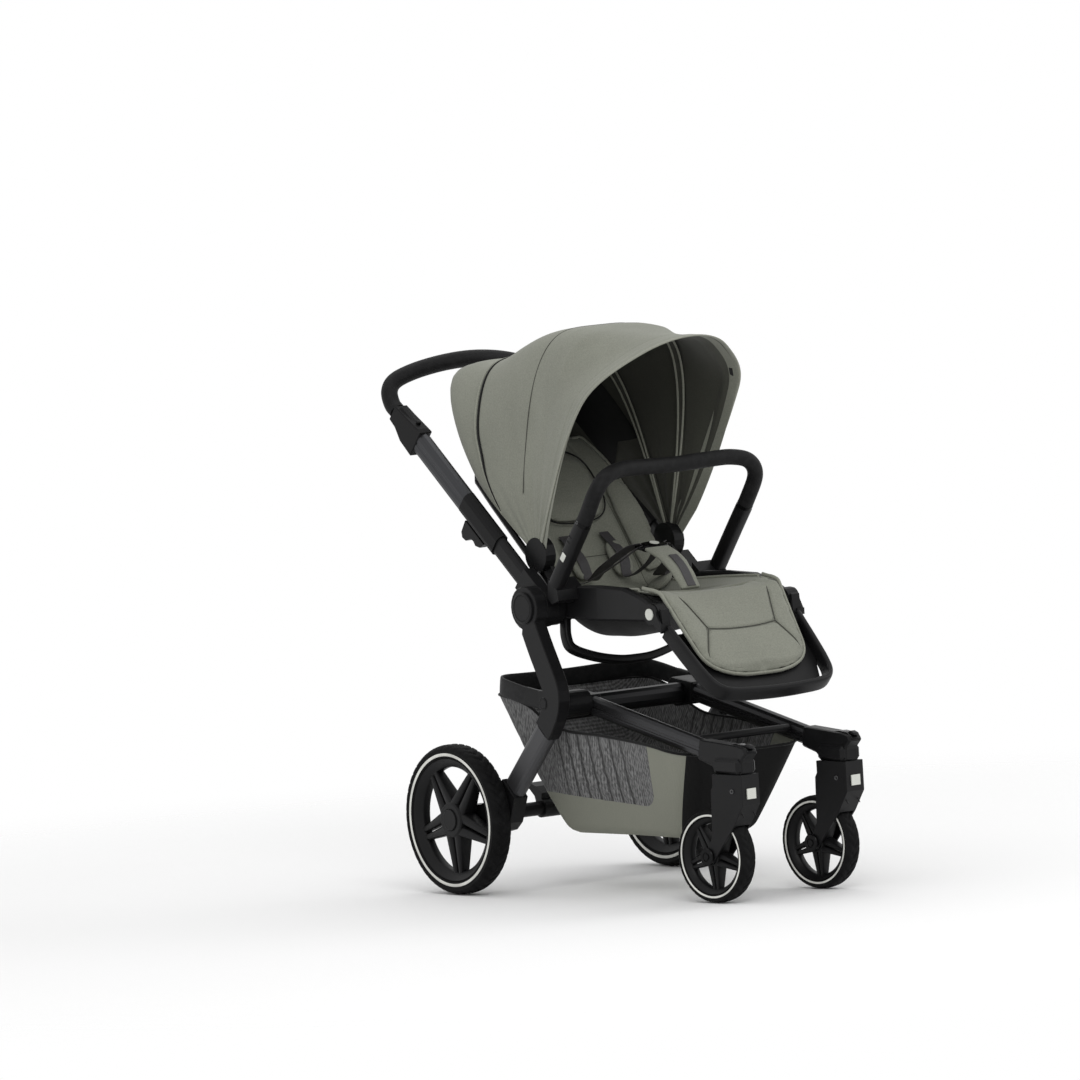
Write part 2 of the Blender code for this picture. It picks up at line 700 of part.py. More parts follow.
def make_basket():
    """The shopping basket: a bag with walls, open at the top, its mesh sides gathered into pleats."""
    levels = (0.0, 0.28, 0.50, 0.75, 1.0)
    mesh = bpy.data.meshes.new("basket")
    work = bmesh.new()
    skins = []
    for inset in (0.0, BASKET_WALL):
        rows = []
        for level in levels:
            ring = basket_ring(level, inset)
            rows.append([work.verts.new(basket_point(ring, level, i, inset)) for i in range(len(ring))])
        skins.append(rows)
    outer, inner = skins
    count = len(outer[0])
    for rows in skins:
        for here, after in zip(rows, rows[1:]):
            for index in range(count):
                following = (index + 1) % count
                work.faces.new((here[index], here[following], after[following], after[index]))
        work.faces.new(rows[0])
    for index in range(count):
        following = (index + 1) % count
        work.faces.new((outer[-1][index], outer[-1][following], inner[-1][following], inner[-1][index]))
    bmesh.ops.recalc_face_normals(work, faces=work.faces)
    work.to_mesh(mesh)
    work.free()
    finish_object(link(mesh, "basket"), "mesh")


def make_legs():
    """Each side's bent leg with its hub ring, cap and metal tube, and the foot that holds the axle."""
    tube_along = (Vector(LEG_TUBE_END) - Vector(LEG_BEND[-1])).normalized()
    for side, sign in SIDES.items():
        x = sign * (LEG_INNER + LEG_THICKNESS / 2)
        bend = [tuple(point.xy) for point in smooth_path([(y, z, 0) for y, z in LEG_BEND], 15)]
        bend[-2] = tuple(Vector(bend[-1]) - tube_along * 0.012)
        outline = eyed_band(HUB, HUB_RADIUS, bend[3:], LEG_WIDTH / 2)
        leg = plate("leg_" + side, [outline], LEG_THICKNESS, side_frame(x))
        soften(leg, 0.0050, 1, 50)
        cap_reach = LEG_THICKNESS / 2 + CAP_HEIGHT
        cap = cylinder("cap", CAP_RADIUS, cap_reach, (x + sign * cap_reach / 2, *HUB), sides=24)
        combine(leg, [cap])
        finish_object(leg, "satin_black")

        start = Vector((x, *(Vector(LEG_BEND[-1]) + tube_along * GAP)))
        end = Vector((x, *LEG_TUBE_END))
        drawing = frame((start + end) / 2, (1, 0, 0), (end - start).normalized().cross(Vector((1, 0, 0))))
        tube = plate("leg_tube_" + side, [rounded_box(LEG_THICKNESS, LEG_WIDTH - 0.001, 0.0110)],
                     (end - start).length, drawing)
        finish_object(tube, "dark_metal")

        across = Vector((-tube_along.y, tube_along.x)) * (LEG_WIDTH / 2 + 0.0005)
        seat = Vector(LEG_TUBE_END) + tube_along * GAP
        upper, lower = seat + across, seat - across
        outline = [tuple(lower), (-0.126, 0.1330), (-0.108, 0.1180), (-0.085, 0.1130), (-0.050, 0.1130)]
        outline += arc((0, REAR_RADIUS), FOOT_RADIUS, -90, 90, 14)
        outline += [(-0.040, 0.1640), (-0.080, 0.1800), tuple(upper)]
        foot_inner, foot_outer = LEG_INNER, REAR_TRACK / 2 - REAR_WIDTH / 2 - 0.0008
        middle = sign * (foot_inner + foot_outer) / 2
        foot = plate("rear_foot_" + side, [outline], foot_outer - foot_inner, side_frame(middle))
        soften(foot, 0.0040, 1, 50)
        bore = cylinder("bore", STUB_RADIUS + GAP, 0.08, (middle, 0, REAR_RADIUS), sides=24)
        combine(foot, [bore], "DIFFERENCE")
        finish_object(foot, "satin_black")

    shoulder = LEG_INNER - GAP
    reach = REAR_TRACK / 2 + (REAR_WIDTH - 0.004) / 2
    profile = [(AXLE_RADIUS, shoulder), (STUB_RADIUS, shoulder), (STUB_RADIUS, reach), (0, reach), (0, -reach),
               (STUB_RADIUS, -reach), (STUB_RADIUS, -shoulder), (AXLE_RADIUS, -shoulder)]
    axle = turned("rear_axle", profile, Matrix.Translation((0, 0, REAR_RADIUS)), 20)
    finish_object(axle, "dark_metal")


PEDAL_HALF = 0.055


def make_brake():
    """The foot pedal, a sleeve on the axle with a tread behind it."""
    sleeve = AXLE_RADIUS + 0.0045
    outline = [(-0.004, REAR_RADIUS + sleeve - 0.004), (-0.006, 0.166), (0.010, 0.178), (0.030, 0.184),
               (0.044, 0.182), (0.045, 0.177), (0.030, 0.172), (0.016, 0.160), (0.012, 0.148)]
    pedal = plate("brake_pedal", [outline], 2 * PEDAL_HALF, side_frame())
    ring = cylinder("ring", sleeve, 2 * PEDAL_HALF, (0, 0, REAR_RADIUS), sides=32)
    combine(pedal, [ring])
    bore = cylinder("bore", AXLE_RADIUS + GAP, 3 * PEDAL_HALF, (0, 0, REAR_RADIUS), sides=32)
    combine(pedal, [bore], "DIFFERENCE")
    finish_object(pedal, "satin_black")


def push_point(along, above=0.0, x=0.0):
    """A place on the push tube's line, from the hub up, and square to it in the tube's plane."""
    direction = Vector((math.cos(PUSH_ANGLE), math.sin(PUSH_ANGLE)))
    normal = Vector((-math.sin(PUSH_ANGLE), math.cos(PUSH_ANGLE)))
    place = Vector(HUB) + direction * along + normal * (PUSH_OFFSET + above)
    return Vector((x, place.x, place.y))


def push_frame_matrix(x):
    """A drawing in the push tube's plane: X of the drawing runs up the tube."""
    direction = Vector((0, math.cos(PUSH_ANGLE), math.sin(PUSH_ANGLE)))
    normal = Vector((0, -math.sin(PUSH_ANGLE), math.cos(PUSH_ANGLE)))
    return frame(push_point(0, 0, x), direction, normal)


def make_push_tubes():
    """Each inner push tube with the socket ring that turns on the hub."""
    for side, sign in SIDES.items():
        x = sign * PUSH_X
        radius, half = HUB_RADIUS - 0.0005, OUTER_TUBE[1] / 2 + 0.0005
        start = math.degrees(math.asin((half + PUSH_OFFSET) / radius))
        end = 360 - math.degrees(math.asin((half - PUSH_OFFSET) / radius))
        outline = arc((0, -PUSH_OFFSET), radius, start, end, 20)
        outline += [(SOCKET_END, -half), (SOCKET_END, half)]
        ring = plate("push_tube_" + side, [outline], SOCKET_THICKNESS, push_frame_matrix(x))
        soften(ring, 0.0030, 1, 50)
        tube = straight_tube("tube", *INNER_TUBE, push_point(SOCKET_END - 0.010, 0, x),
                             push_point(INNER_END, 0, x))
        combine(ring, [tube])
        finish_object(ring, "satin_black")


def make_handle_tubes():
    """Each outer tube: end sleeve, grooved tube and the collar that carries the grip."""
    bore = (INNER_TUBE[0] + 2 * TUBE_BORE_GAP, INNER_TUBE[1] + 2 * TUBE_BORE_GAP)
    for side, sign in SIDES.items():
        x = sign * PUSH_X
        tube = straight_tube("handle_tube_" + side, *OUTER_TUBE, push_point(SLEEVE_START, 0, x),
                             push_point(COLLAR_END - 0.010, 0, x), 0.0010)
        sleeve = straight_tube("sleeve", OUTER_TUBE[0] + 0.001, OUTER_TUBE[1] + 0.001,
                               push_point(SLEEVE_START, 0, x), push_point(SLEEVE_END, 0, x))
        swell = [(COLLAR_START, -0.0305), (COLLAR_START + 0.040, -0.0285), (COLLAR_END - 0.022, -0.0180),
                 (COLLAR_END, -0.0160), (COLLAR_END, 0.0160), (COLLAR_END - 0.030, 0.0190),
                 (COLLAR_START + 0.012, 0.0250), (COLLAR_START, 0.0245)]
        collar = plate("collar", [swell], COLLAR_WIDTH, push_frame_matrix(x))
        soften(collar, 0.0050, 1, 50)
        combine(tube, [sleeve, collar])
        cutter = plate("bore", [oval_outline(*bore)], INNER_END + 0.006 - SLEEVE_START + 0.02,
                       frame((push_point(SLEEVE_START - 0.02, 0, x) + push_point(INNER_END + 0.006, 0, x)) / 2,
                             (1, 0, 0), Vector((0, math.cos(PUSH_ANGLE), math.sin(PUSH_ANGLE))).cross((1, 0, 0))))
        combine(tube, [cutter], "DIFFERENCE")
        finish_object(tube, "dark_metal")

        lobes = [(0.186, -0.0240), (0.192, -0.0370), (0.204, -0.0430), (0.213, -0.0400), (0.222, -0.0410),
                 (0.231, -0.0540), (0.243, -0.0560), (0.251, -0.0490), (0.254, -0.0240)]
        trigger = plate("fold_trigger_" + side, [lobes], TRIGGER_WIDTH, push_frame_matrix(x))
        soften(trigger, 0.0025, 1, 40)
        finish_object(trigger, "satin_black")


def grip_route():
    """Centre points of the grip, from the right collar round to the left."""
    start = push_point(COLLAR_END + 0.0012, 0, PUSH_X)
    second = push_point(COLLAR_END + 0.022, 0, PUSH_X - 0.0005)
    half = [start, second, Vector((0.1725, 0.2300, 0.9140)), Vector((0.1550, 0.2340, 0.9320)),
            Vector((0.1150, 0.2300, 0.9460)), Vector((0.0600, 0.2230, 0.9560))]
    right = [Vector((-p.x, p.y, p.z)) for p in half]
    return smooth_path([*right, Vector((0, 0.2195, 0.9600)), *reversed(half)], 29)


def make_grip():
    """The padded grip, one bow from collar to collar."""
    finish_object(rod("handle_grip", grip_route(), GRIP_RADIUS, 2), "leather")


def make_seat_mounts():
    """The adapter on each side that carries the seat on the hub."""
    outer = PUSH_X - SOCKET_THICKNESS / 2 - GAP
    for side, sign in SIDES.items():
        middle = sign * (outer - SEAT_MOUNT_THICKNESS / 2)
        mount = cylinder("seat_mount_" + side, SEAT_MOUNT_RADIUS, SEAT_MOUNT_THICKNESS, (middle, *HUB), sides=28)
        soften(mount, 0.0015, 1, 50)
        finish_object(mount, "satin_black")


def arm_section(y, x, low, high, thickness):
    """One upright section of a seat arm, a box with cut corners."""
    half = thickness / 2
    cut = 0.004
    return [(x - half + cut, y, high), (x + half - cut, y, high), (x + half, y, high - cut), (x + half, y, low + cut),
            (x + half - cut, y, low), (x - half + cut, y, low), (x - half, y, low + cut), (x - half, y, high - cut)]


def make_seat_frame():
    """The rigid seat frame: arms from hub to foot pivot, back hoop and the hoop under the seat."""
    outer = PUSH_X - SOCKET_THICKNESS / 2 - GAP - SEAT_MOUNT_THICKNESS - GAP
    arm_x = outer - ARM_THICKNESS / 2
    pieces = []
    for sign in (-1, 1):
        stations = [(-0.200, arm_x, 0.506, 0.552), (-0.240, arm_x, 0.504, 0.560),
                    (-0.280, arm_x + 0.005, 0.504, 0.566), (-0.340, ARM_FRONT_X - 0.004, 0.504, 0.568),
                    (-0.420, ARM_FRONT_X - 0.001, 0.506, 0.566), (-0.470, ARM_FRONT_X, 0.507, 0.553),
                    (-0.508, ARM_FRONT_X, 0.508, 0.536)]
        rings = [arm_section(y, sign * x, low, high, ARM_THICKNESS) for y, x, low, high in stations]
        arm = loft("arm", rings)
        ring = cylinder("ring", SEAT_MOUNT_RADIUS - 0.001, ARM_THICKNESS, (sign * arm_x, *HUB), sides=20)
        end = cylinder("end", 0.0200, ARM_THICKNESS, (sign * ARM_FRONT_X, *FOOT_PIVOT), sides=18)
        lug_inner, lug_outer = arm_x, BUMPER_X + 0.010
        foot, rise = Vector(BUMPER_FOOT), Vector(BUMPER_RISE).normalized()
        across = Vector((-rise.y, rise.x)) * (BUMPER_RADIUS + 0.0015)
        low_edge, high_edge = foot - rise * GAP + across, foot - rise * GAP - across
        lug = plate("lug", [[(-0.2460, 0.5480), tuple(high_edge), tuple(low_edge), (-0.2790, 0.5430),
                             (-0.2580, 0.5360)]],
                    lug_outer - lug_inner, side_frame(sign * (lug_inner + lug_outer) / 2))
        disc_inner, disc_outer = CANOPY_HALF_WIDTH - 0.0230, CANOPY_HALF_WIDTH
        disc = cylinder("disc", CANOPY_FOOT - GAP, disc_outer - disc_inner,
                        (sign * (disc_inner + disc_outer) / 2, *CANOPY_PIVOT), sides=20)
        bracket = plate("bracket", [eyed_band(CANOPY_PIVOT, 0.0200, [(-0.1760, 0.6050), (-0.2000, 0.5700),
                                                                     (-0.2200, 0.5450)], 0.0110, 10)],
                        0.0085, side_frame(sign * (disc_inner + 0.00425)))
        pieces += [arm, ring, end, lug, disc, bracket]
    frame_obj = pieces[0]
    frame_obj.name = "seat_frame"
    half = [(arm_x, -0.192, 0.548), (BACK_TUBE_X - 0.005, -0.160, 0.584), (BACK_TUBE_X, -0.120, 0.625),
            (BACK_TUBE_X, -0.030, 0.707), (BACK_TUBE_X - 0.006, 0.022, 0.749),
            (BACK_TUBE_X - 0.036, BACK_TOP[0] - 0.008, BACK_TOP[1] - 0.007)]
    right = [(-x, y, z) for x, y, z in half]
    back = rod("back", smooth_path([*right, (0, *BACK_TOP), *reversed(half)], 13), BACK_TUBE_RADIUS, 1)
    drop = [(0.1340, -0.214, 0.500), (0.1400, -0.222, 0.470), (0.1330, -0.229, 0.4480), (0.0900, -0.236, 0.4300),
            (0.0400, -0.240, 0.4195)]
    under = rod("under", smooth_path([*[(-x, y, z) for x, y, z in drop], (0, -0.2405, 0.4175),
                                      *reversed(drop)], 13), 0.0065, 1)
    combine(frame_obj, [*pieces[1:], back, under])
    pockets = []
    for sign in (-1, 1):
        face = sign * (ARM_FRONT_X + ARM_THICKNESS / 2)
        pockets.append(cylinder("pocket", BUTTON_RADIUS + 2 * GAP, 2 * BUTTON_TRAVEL + 0.001,
                                (face, *FOOT_PIVOT), sides=20))
    combine(frame_obj, pockets, "DIFFERENCE")
    finish_object(frame_obj, "satin_black")


# Side profile of the padded seat, from the top of the back to the lip: Y and Z of its surface
SEAT_PROFILE = ((0.0600, 0.8020), (0.0000, 0.7320), (-0.0700, 0.6450), (-0.1250, 0.5720), (-0.1600, 0.5270),
                (-0.2050, 0.5040), (-0.2700, 0.5030), (-0.3500, 0.5120), (-0.4300, 0.5290), (-0.4800, 0.5400))
# Half width, padding thickness and how far the sides rise, at the same places
SEAT_HALF_WIDTH = (0.1180, 0.1340, 0.1360, 0.1320, 0.1270, 0.1262, 0.1298, 0.1388, 0.1416, 0.1424)
SEAT_RISE = (0.010, 0.030, 0.036, 0.034, 0.036, 0.040, 0.044, 0.040, 0.026, 0.014)
SEAT_PAD = 0.020
SHELL_THICKNESS = (0.006, 0.008, 0.010, 0.014, 0.024, 0.040, 0.042, 0.038, 0.026, 0.012)


def seat_station(index):
    """Place, direction along and direction out of the seat's surface at one station."""
    here = Vector(SEAT_PROFILE[index])
    before = Vector(SEAT_PROFILE[max(index - 1, 0)])
    after = Vector(SEAT_PROFILE[min(index + 1, len(SEAT_PROFILE) - 1)])
    along = (after - before).normalized()
    out = Vector((along.y, -along.x))
    if out.y < 0 and out.x > 0:
        out = -out
    return here, out


def seat_ring(index, top, bottom, inset, points, narrowing=1.0):
    """A closed section across the seat: a dished upper face and a fuller lower face."""
    here, out = seat_station(index)
    half = SEAT_HALF_WIDTH[index] - inset
    rise = SEAT_RISE[index]
    upper, lower = [], []
    for step in range(points + 1):
        share = -1 + 2 * step / points
        lift = rise * abs(share) ** 3
        crown = top * (1 - 0.55 * abs(share) ** 6)
        sink = bottom * (1 - 0.45 * abs(share) ** 4)
        spot = here + out * (lift + crown)
        under = here + out * (lift - sink)
        upper.append((half * share, spot.x, spot.y))
        lower.append((half * share * narrowing, under.x, under.y))
    return upper + lower[::-1]


def make_seat():
    """The black shell slung in the frame and the padded liner on it, back and seat in one."""
    count = len(SEAT_PROFILE)
    shell = loft("seat_shell", [seat_ring(i, -GAP, SHELL_THICKNESS[i], 0.003, 14, 0.985) for i in range(count)])
    finish_object(shell, "sling", 60)
    rings = [seat_ring(i, SEAT_PAD, -0.0012, 0.003, 14) for i in range(count)]
    liner = loft("seat_liner", rings)
    finish_object(liner, "sage", 60)


def make_footrest():
    """The footrest: a bent frame with its back panel, turning at the front of the seat arms."""
    half = [(ARM_FRONT_X - 0.001, -0.5380, 0.4940), (0.1440, -0.5850, 0.4500), (0.1385, -0.6250, 0.4125),
            (0.1290, -0.6470, 0.3920), (0.1080, -0.6580, 0.3817), (0.0600, -0.6620, 0.3780)]
    right = [(-x, y, z) for x, y, z in half]
    along = Vector((0, *(Vector(FOOT_CORNER) - Vector(FOOT_PIVOT)))).normalized()
    normal = along.cross(Vector((1, 0, 0)))
    route = smooth_path([*right, (0, *FOOT_CORNER), *reversed(half)], 17)
    rail = sweep("footrest_frame", route, normal, 0.0045, -0.0210, 0.0090)
    near, far = Vector((0, -0.5400, 0.4921)), Vector((0, -0.6600, 0.3798))
    rings = []
    for centre, half_width in ((near, 0.1470), ((near + far) / 2, 0.1410), (far, 0.1080)):
        across = Vector((half_width, 0, 0))
        low, high = normal * -0.0164, normal * -0.0134
        rings.append([centre + across + high, centre - across + high, centre - across + low,
                      centre + across + low])
    panel = loft("panel", rings)
    combine(rail, [panel])
    for sign in (-1, 1):
        x = sign * ARM_FRONT_X
        outline = [(-0.529, 0.4870), (-0.5370, 0.4960), (-0.5345, 0.5300), (-0.5300, 0.5330),
                   (-0.5300, 0.5100), (-0.5220, 0.4960)]
        ear = plate("ear", [outline], 0.0180, side_frame(x))
        ring_inner = ARM_FRONT_X + ARM_THICKNESS / 2 + GAP
        cover = cylinder("cover", 0.0185, 0.0050, (sign * (ring_inner + 0.0025), *FOOT_PIVOT), sides=24)
        bridge = plate("bridge", [[(-0.5290, 0.4930), (-0.5380, 0.5010), (-0.5200, 0.5330), (-0.5050, 0.5130)]],
                       0.0050, side_frame(sign * (ring_inner + 0.0025)))
        web = block("web", (0.0160, 0.0090, 0.0120), (sign * (ring_inner - 0.0030), -0.5345, 0.4980))
        hole = cylinder("hole", BUTTON_RADIUS + GAP, 0.02, (sign * (ring_inner + 0.0025), *FOOT_PIVOT), sides=20)
        combine(cover, [bridge])
        combine(cover, [hole], "DIFFERENCE")
        combine(rail, [ear, web, cover])
    finish_object(rail, "satin_black")
    for side, sign in SIDES.items():
        low = ARM_FRONT_X + ARM_THICKNESS / 2 + GAP
        button = cylinder("footrest_button_" + side, BUTTON_RADIUS, 0.0070,
                          (sign * (low + 0.0035 + GAP), *FOOT_PIVOT), sides=20)
        finish_object(button, "pale")


CALF_TOP = (-0.4980, 0.5450)
CALF_BOTTOM = (-0.6180, 0.4040)
CALF_PAD = 0.016


def make_calf_pad():
    """The padded calf rest, from over the seat's lip down to its round lower edge."""
    top, bottom = Vector(CALF_TOP), Vector(CALF_BOTTOM)
    along = (bottom - top).normalized()
    out = Vector((along.y, -along.x))
    rows = []
    count = 11
    for index in range(count):
        t = index / (count - 1)
        half = 0.1320 - 0.0180 * t
        if t > 0.72:
            half *= math.sqrt(max(1 - ((t - 0.72) / 0.30) ** 2 * 0.62, 0.05))
        place = top + (bottom - top) * t
        swell = math.sin(math.pi * min(max(0.10 + 0.80 * t, 0), 1)) ** 0.4
        upper, lower = [], []
        for step in range(13):
            share = -1 + 2 * step / 12
            drop = 0.006 * abs(share) ** 2.5 * (1 - t)
            crown = CALF_PAD * swell * (1 - 0.75 * abs(share) ** 6)
            spot = place + out * (crown - drop)
            under = place - out * (0.002 + drop)
            upper.append((half * share, spot.x, spot.y))
            lower.append((half * share * 0.985, under.x, under.y))
        rows.append(upper + lower[::-1])
    finish_object(loft("calf_pad", rows), "sage", 60)


def make_bumper():
    """The bumper bar: leather bow with plastic ends, and a release button on each end."""
    half = [(BUMPER_X, *BUMPER_FOOT),
            (BUMPER_X, BUMPER_FOOT[0] + BUMPER_RISE[0], BUMPER_FOOT[1] + BUMPER_RISE[1]), (BUMPER_X, -0.3640, 0.6980),
            (BUMPER_X - 0.002, -0.3930, 0.7420), (BUMPER_X - 0.022, -0.4010, 0.7690),
            (BUMPER_X - 0.060, -0.3980, 0.7790), (BUMPER_X - 0.110, -0.3950, 0.7790)]
    right = [(-x, y, z) for x, y, z in half]
    bar = rod("bumper_bar", smooth_path([*right, (0, -0.3930, 0.7770), *reversed(half)], 29), BUMPER_RADIUS, 2)
    for side, sign in SIDES.items():
        slot = block("slot", (0.0100, 0.0120, 0.0170), (0, 0, 0))
        slot.data.transform(button_matrix(sign, -0.0047 - BUTTON_TRAVEL + 0.0050))
        combine(bar, [slot], "DIFFERENCE")
        button = block("bumper_button_" + side, (0.0050, 0.0112, 0.0162), (0, 0, 0))
        button.data.transform(button_matrix(sign, -0.0020))
        soften(button, 0.0012, 2, 40)
        finish_object(button, "pale")
    finish_object(bar, "leather")


def button_matrix(sign, depth):
    """Where a release button sits on the outer side of the bumper bar's end."""
    along = Vector((0, *BUMPER_RISE)).normalized()
    spot = Vector((sign * (BUMPER_X + BUMPER_RADIUS + depth), -0.3050, 0.6235))
    return frame(spot, (1, 0, 0), along.cross(Vector((1, 0, 0))))


def canopy_section(angle, inset, points=21):
    """A rib's outline in its plane: straight up the sides, round over the top."""
    top = value_at(CANOPY_TOP, angle) - inset
    bulge = CANOPY_BULGE * max((angle - 92.0) / 36.0, 0.0) ** 1.4
    turn = math.radians(angle)
    places = []
    for index in range(points):
        u = math.pi * index / (points - 1)
        height = math.sin(u) ** 0.62 if 0 < index < points - 1 else 0.0
        width = CANOPY_HALF_WIDTH + bulge * math.sin(math.pi * min(height, 1) ** 0.9 * 0.62) - inset
        across = math.copysign(abs(math.cos(u)) ** 0.46, math.cos(u)) if index != (points - 1) / 2 else 0.0
        reach = CANOPY_FOOT + (top - CANOPY_FOOT) * height
        places.append((width * across, CANOPY_PIVOT[0] + reach * math.cos(turn),
                       CANOPY_PIVOT[1] + reach * math.sin(turn)))
    return places


def canopy_panel(name, start, end, steps, material):
    """A fabric panel between two planes through the pivot, with an even thickness."""
    rings = []
    for index in range(steps):
        angle = start + (end - start) * index / (steps - 1)
        skin = canopy_section(angle, 0.0)
        lining = canopy_section(angle, CANOPY_THICKNESS)
        rings.append(skin + lining[::-1])
    return finish_object(loft(name, rings), material, 50)


def canopy_bow(name, angle, width, inset):
    """A flat bow just inside the fabric, from one pivot plate over the top to the other."""
    rings = []
    for index in range(21):
        middle = canopy_section(angle, inset)[index]
        reach = math.hypot(middle[1] - CANOPY_PIVOT[0], middle[2] - CANOPY_PIVOT[1])
        half_span = math.degrees(math.asin(width / 2 / reach))
        corners = []
        for turn, depth in ((-1, 0.0), (1, 0.0), (1, BOW_SIZE[1]), (-1, BOW_SIZE[1])):
            x, y, z = canopy_section(angle + turn * half_span, inset + depth)[index]
            spread = 1 / math.cos(math.radians(half_span))
            corners.append((x, CANOPY_PIVOT[0] + (y - CANOPY_PIVOT[0]) * spread,
                            CANOPY_PIVOT[1] + (z - CANOPY_PIVOT[1]) * spread))
        rings.append(corners)
    bow = loft(name, rings)
    return bow


def make_canopy():
    """Rear, middle and front fabric, with the middle and front bows that fold them back."""
    planes = CANOPY_PLANES
    seam = math.degrees(0.0004 / 0.30)
    canopy_panel("canopy_rear", planes["back"], planes["rear"] - seam, 8, "sage")
    canopy_panel("canopy_middle", planes["rear"] + seam, planes["middle"] - seam, 6, "sage")
    canopy_panel("canopy_front", planes["middle"] + seam, planes["front"], 7, "sage")
    bows = (("canopy_bow_middle", "rear", BOW_LEAD, 0.0030), ("canopy_bow_front", "middle", BOW_LEAD, 0.0012))
    for name, plane, shift, bow_gap in bows:
        bow = canopy_bow(name, planes[plane] + shift, BOW_SIZE[0], CANOPY_THICKNESS + bow_gap)
        finish_object(bow, "satin_black")


def make_harness():
    """The crotch pad with the buckle on it and the buckle's release button."""
    route = [(-0.4185, 0.5498), (-0.3930, 0.5850), (-0.3600, 0.6080), (-0.3180, 0.6230)]
    rings = []
    for index, (y, z) in enumerate(route):
        before, after = route[max(index - 1, 0)], route[min(index + 1, len(route) - 1)]
        along = Vector((0, after[0] - before[0], after[1] - before[1])).normalized()
        out = Vector((1, 0, 0)).cross(along)
        half = (0.0240, 0.0260, 0.0290, 0.0260)[index]
        centre = Vector((0, y, z))
        across = Vector((half, 0, 0))
        edge = Vector((half - 0.005, 0, 0))
        thick = out * 0.0060
        rings.append([centre + edge + thick, centre + across, centre + edge - thick, centre - edge - thick,
                      centre - across, centre - edge + thick])
    pad = loft("pad", rings)
    matrix = frame((0, -0.3170, 0.6250), (1, 0, 0), (0, 1, 0.25))
    housing = block("buckle", (0.0560, 0.0340, 0.0140), (0, 0, 0))
    soften(housing, 0.0050, 2, 40)
    housing.data.transform(matrix)
    pocket = cylinder("pocket", 0.0090 + GAP, 0.02, (0, 0, 0.0130 - BUTTON_TRAVEL), "Z", 20)
    pocket.data.transform(matrix)
    combine(housing, [pad])
    combine(housing, [pocket], "DIFFERENCE")
    finish_object(housing, "satin_black")
    button = cylinder("buckle_button", 0.0090, 0.0050, (0, 0, 0.0030 + GAP + 0.0025), "Z", 20)
    button.data.transform(matrix)
    finish_object(button, "pale")


def joint_places():
    """Where each moving body turns or slides, in the axle frame, with the names its parts start with."""
    slide = tuple(push_point(SLEEVE_START, 0))
    seat_parts = ("seat_frame", "seat_shell", "seat_liner", "canopy_rear", "buckle")
    foot_parts = ("footrest_frame", "calf_pad")
    places = {
        "legs": ((0, *KNEE), ("leg_", "rear_foot_", "rear_axle")),
        "brake": ((0, 0, REAR_RADIUS), ("brake_pedal",)),
        "push_frame": ((0, *HUB), ("push_tube_",)),
        "handlebar": (slide, ("handle_",)),
        "seat_mounts": ((0, *HUB), ("seat_mount_",)),
        "seat": ((0, *HUB), seat_parts),
        "footrest": ((0, *FOOT_PIVOT), foot_parts),
        "bumper": ((0, *BUMPER_FOOT), ("bumper_bar",)),
        "canopy_front": ((0, *CANOPY_PIVOT), ("canopy_bow_front", "canopy_front")),
        "canopy_middle": ((0, *CANOPY_PIVOT), ("canopy_bow_middle", "canopy_middle")),
        "buckle_button": ((0, -0.3170, 0.6250), ("buckle_button",)),
    }
    turn = Matrix.Rotation(CASTER_TURN, 4, "Z")
    for side, sign in SIDES.items():
        swivel = Vector((sign * CASTER_TRACK / 2, CASTER_Y, 0))
        wheel = swivel + turn @ Vector((0, CASTER_TRAIL, FRONT_RADIUS))
        caster_parts = ("caster_fork_" + side, "reflector_" + side, "front_axle_" + side)
        rear_parts = ("rear_tyre_" + side, "rear_rim_" + side, "rear_wheel_cap_" + side)
        arm_face = sign * (ARM_FRONT_X + ARM_THICKNESS / 2)
        places["caster_" + side] = (tuple(swivel + Vector((0, 0, SWIVEL_Z))), caster_parts)
        places["front_wheel_" + side] = (tuple(wheel), ("front_tyre_" + side, "front_rim_" + side))
        places["rear_wheel_" + side] = ((sign * REAR_TRACK / 2, 0, REAR_RADIUS), rear_parts)
        places["trigger_" + side] = (tuple(push_point(0.220, -0.024, sign * PUSH_X)), ("fold_trigger_" + side,))
        places["footrest_button_" + side] = ((arm_face, *FOOT_PIVOT), ("footrest_button_" + side,))
        places["bumper_button_" + side] = (tuple(button_matrix(sign, 0).translation), ("bumper_button_" + side,))
    return places


def body_of(name, places):
    """The moving body whose list names this part best, or none."""
    best, length = None, 0
    for body, (_, starts) in places.items():
        for start in starts:
            if name.startswith(start) and len(start) > length:
                best, length = body, len(start)
    return best


def carry_to_origin():
    """One empty carries every part from the axle frame to the model's origin, and one sits at each joint."""
    parts = list(PARTS.objects)
    places = joint_places()
    carrier = bpy.data.objects.new("stroller_origin", None)
    carrier.location = (0, REAR_AXLE_Y, 0)
    PARTS.objects.link(carrier)
    pivots = {}
    for body, (place, _) in places.items():
        pivot = bpy.data.objects.new("joint_" + body, None)
        pivot.location = place
        pivot.parent = carrier
        PARTS.objects.link(pivot)
        pivots[body] = pivot
    for part in parts:
        body = body_of(part.name, places)
        part.parent = pivots.get(body, carrier)
        if body:
            part.location = -Vector(places[body][0])


def main():
    """Build every sub-part."""
    make_rear_wheels()
    make_casters()
    make_front_frame()
    make_basket_hoop()
    make_basket()
    make_legs()
    make_brake()
    make_push_tubes()
    make_handle_tubes()
    make_grip()
    make_seat_mounts()
    make_seat_frame()
    make_seat()
    make_footrest()
    make_calf_pad()
    make_bumper()
    make_canopy()
    make_harness()
    carry_to_origin()


main()
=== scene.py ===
"""Looks of the compact stroller: materials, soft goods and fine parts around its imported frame.

Metres, +Z up, the stroller faces -Y. Places are written from the rear axle, as in the part's
drawings, and each finished mesh is then carried to the model's origin.
"""

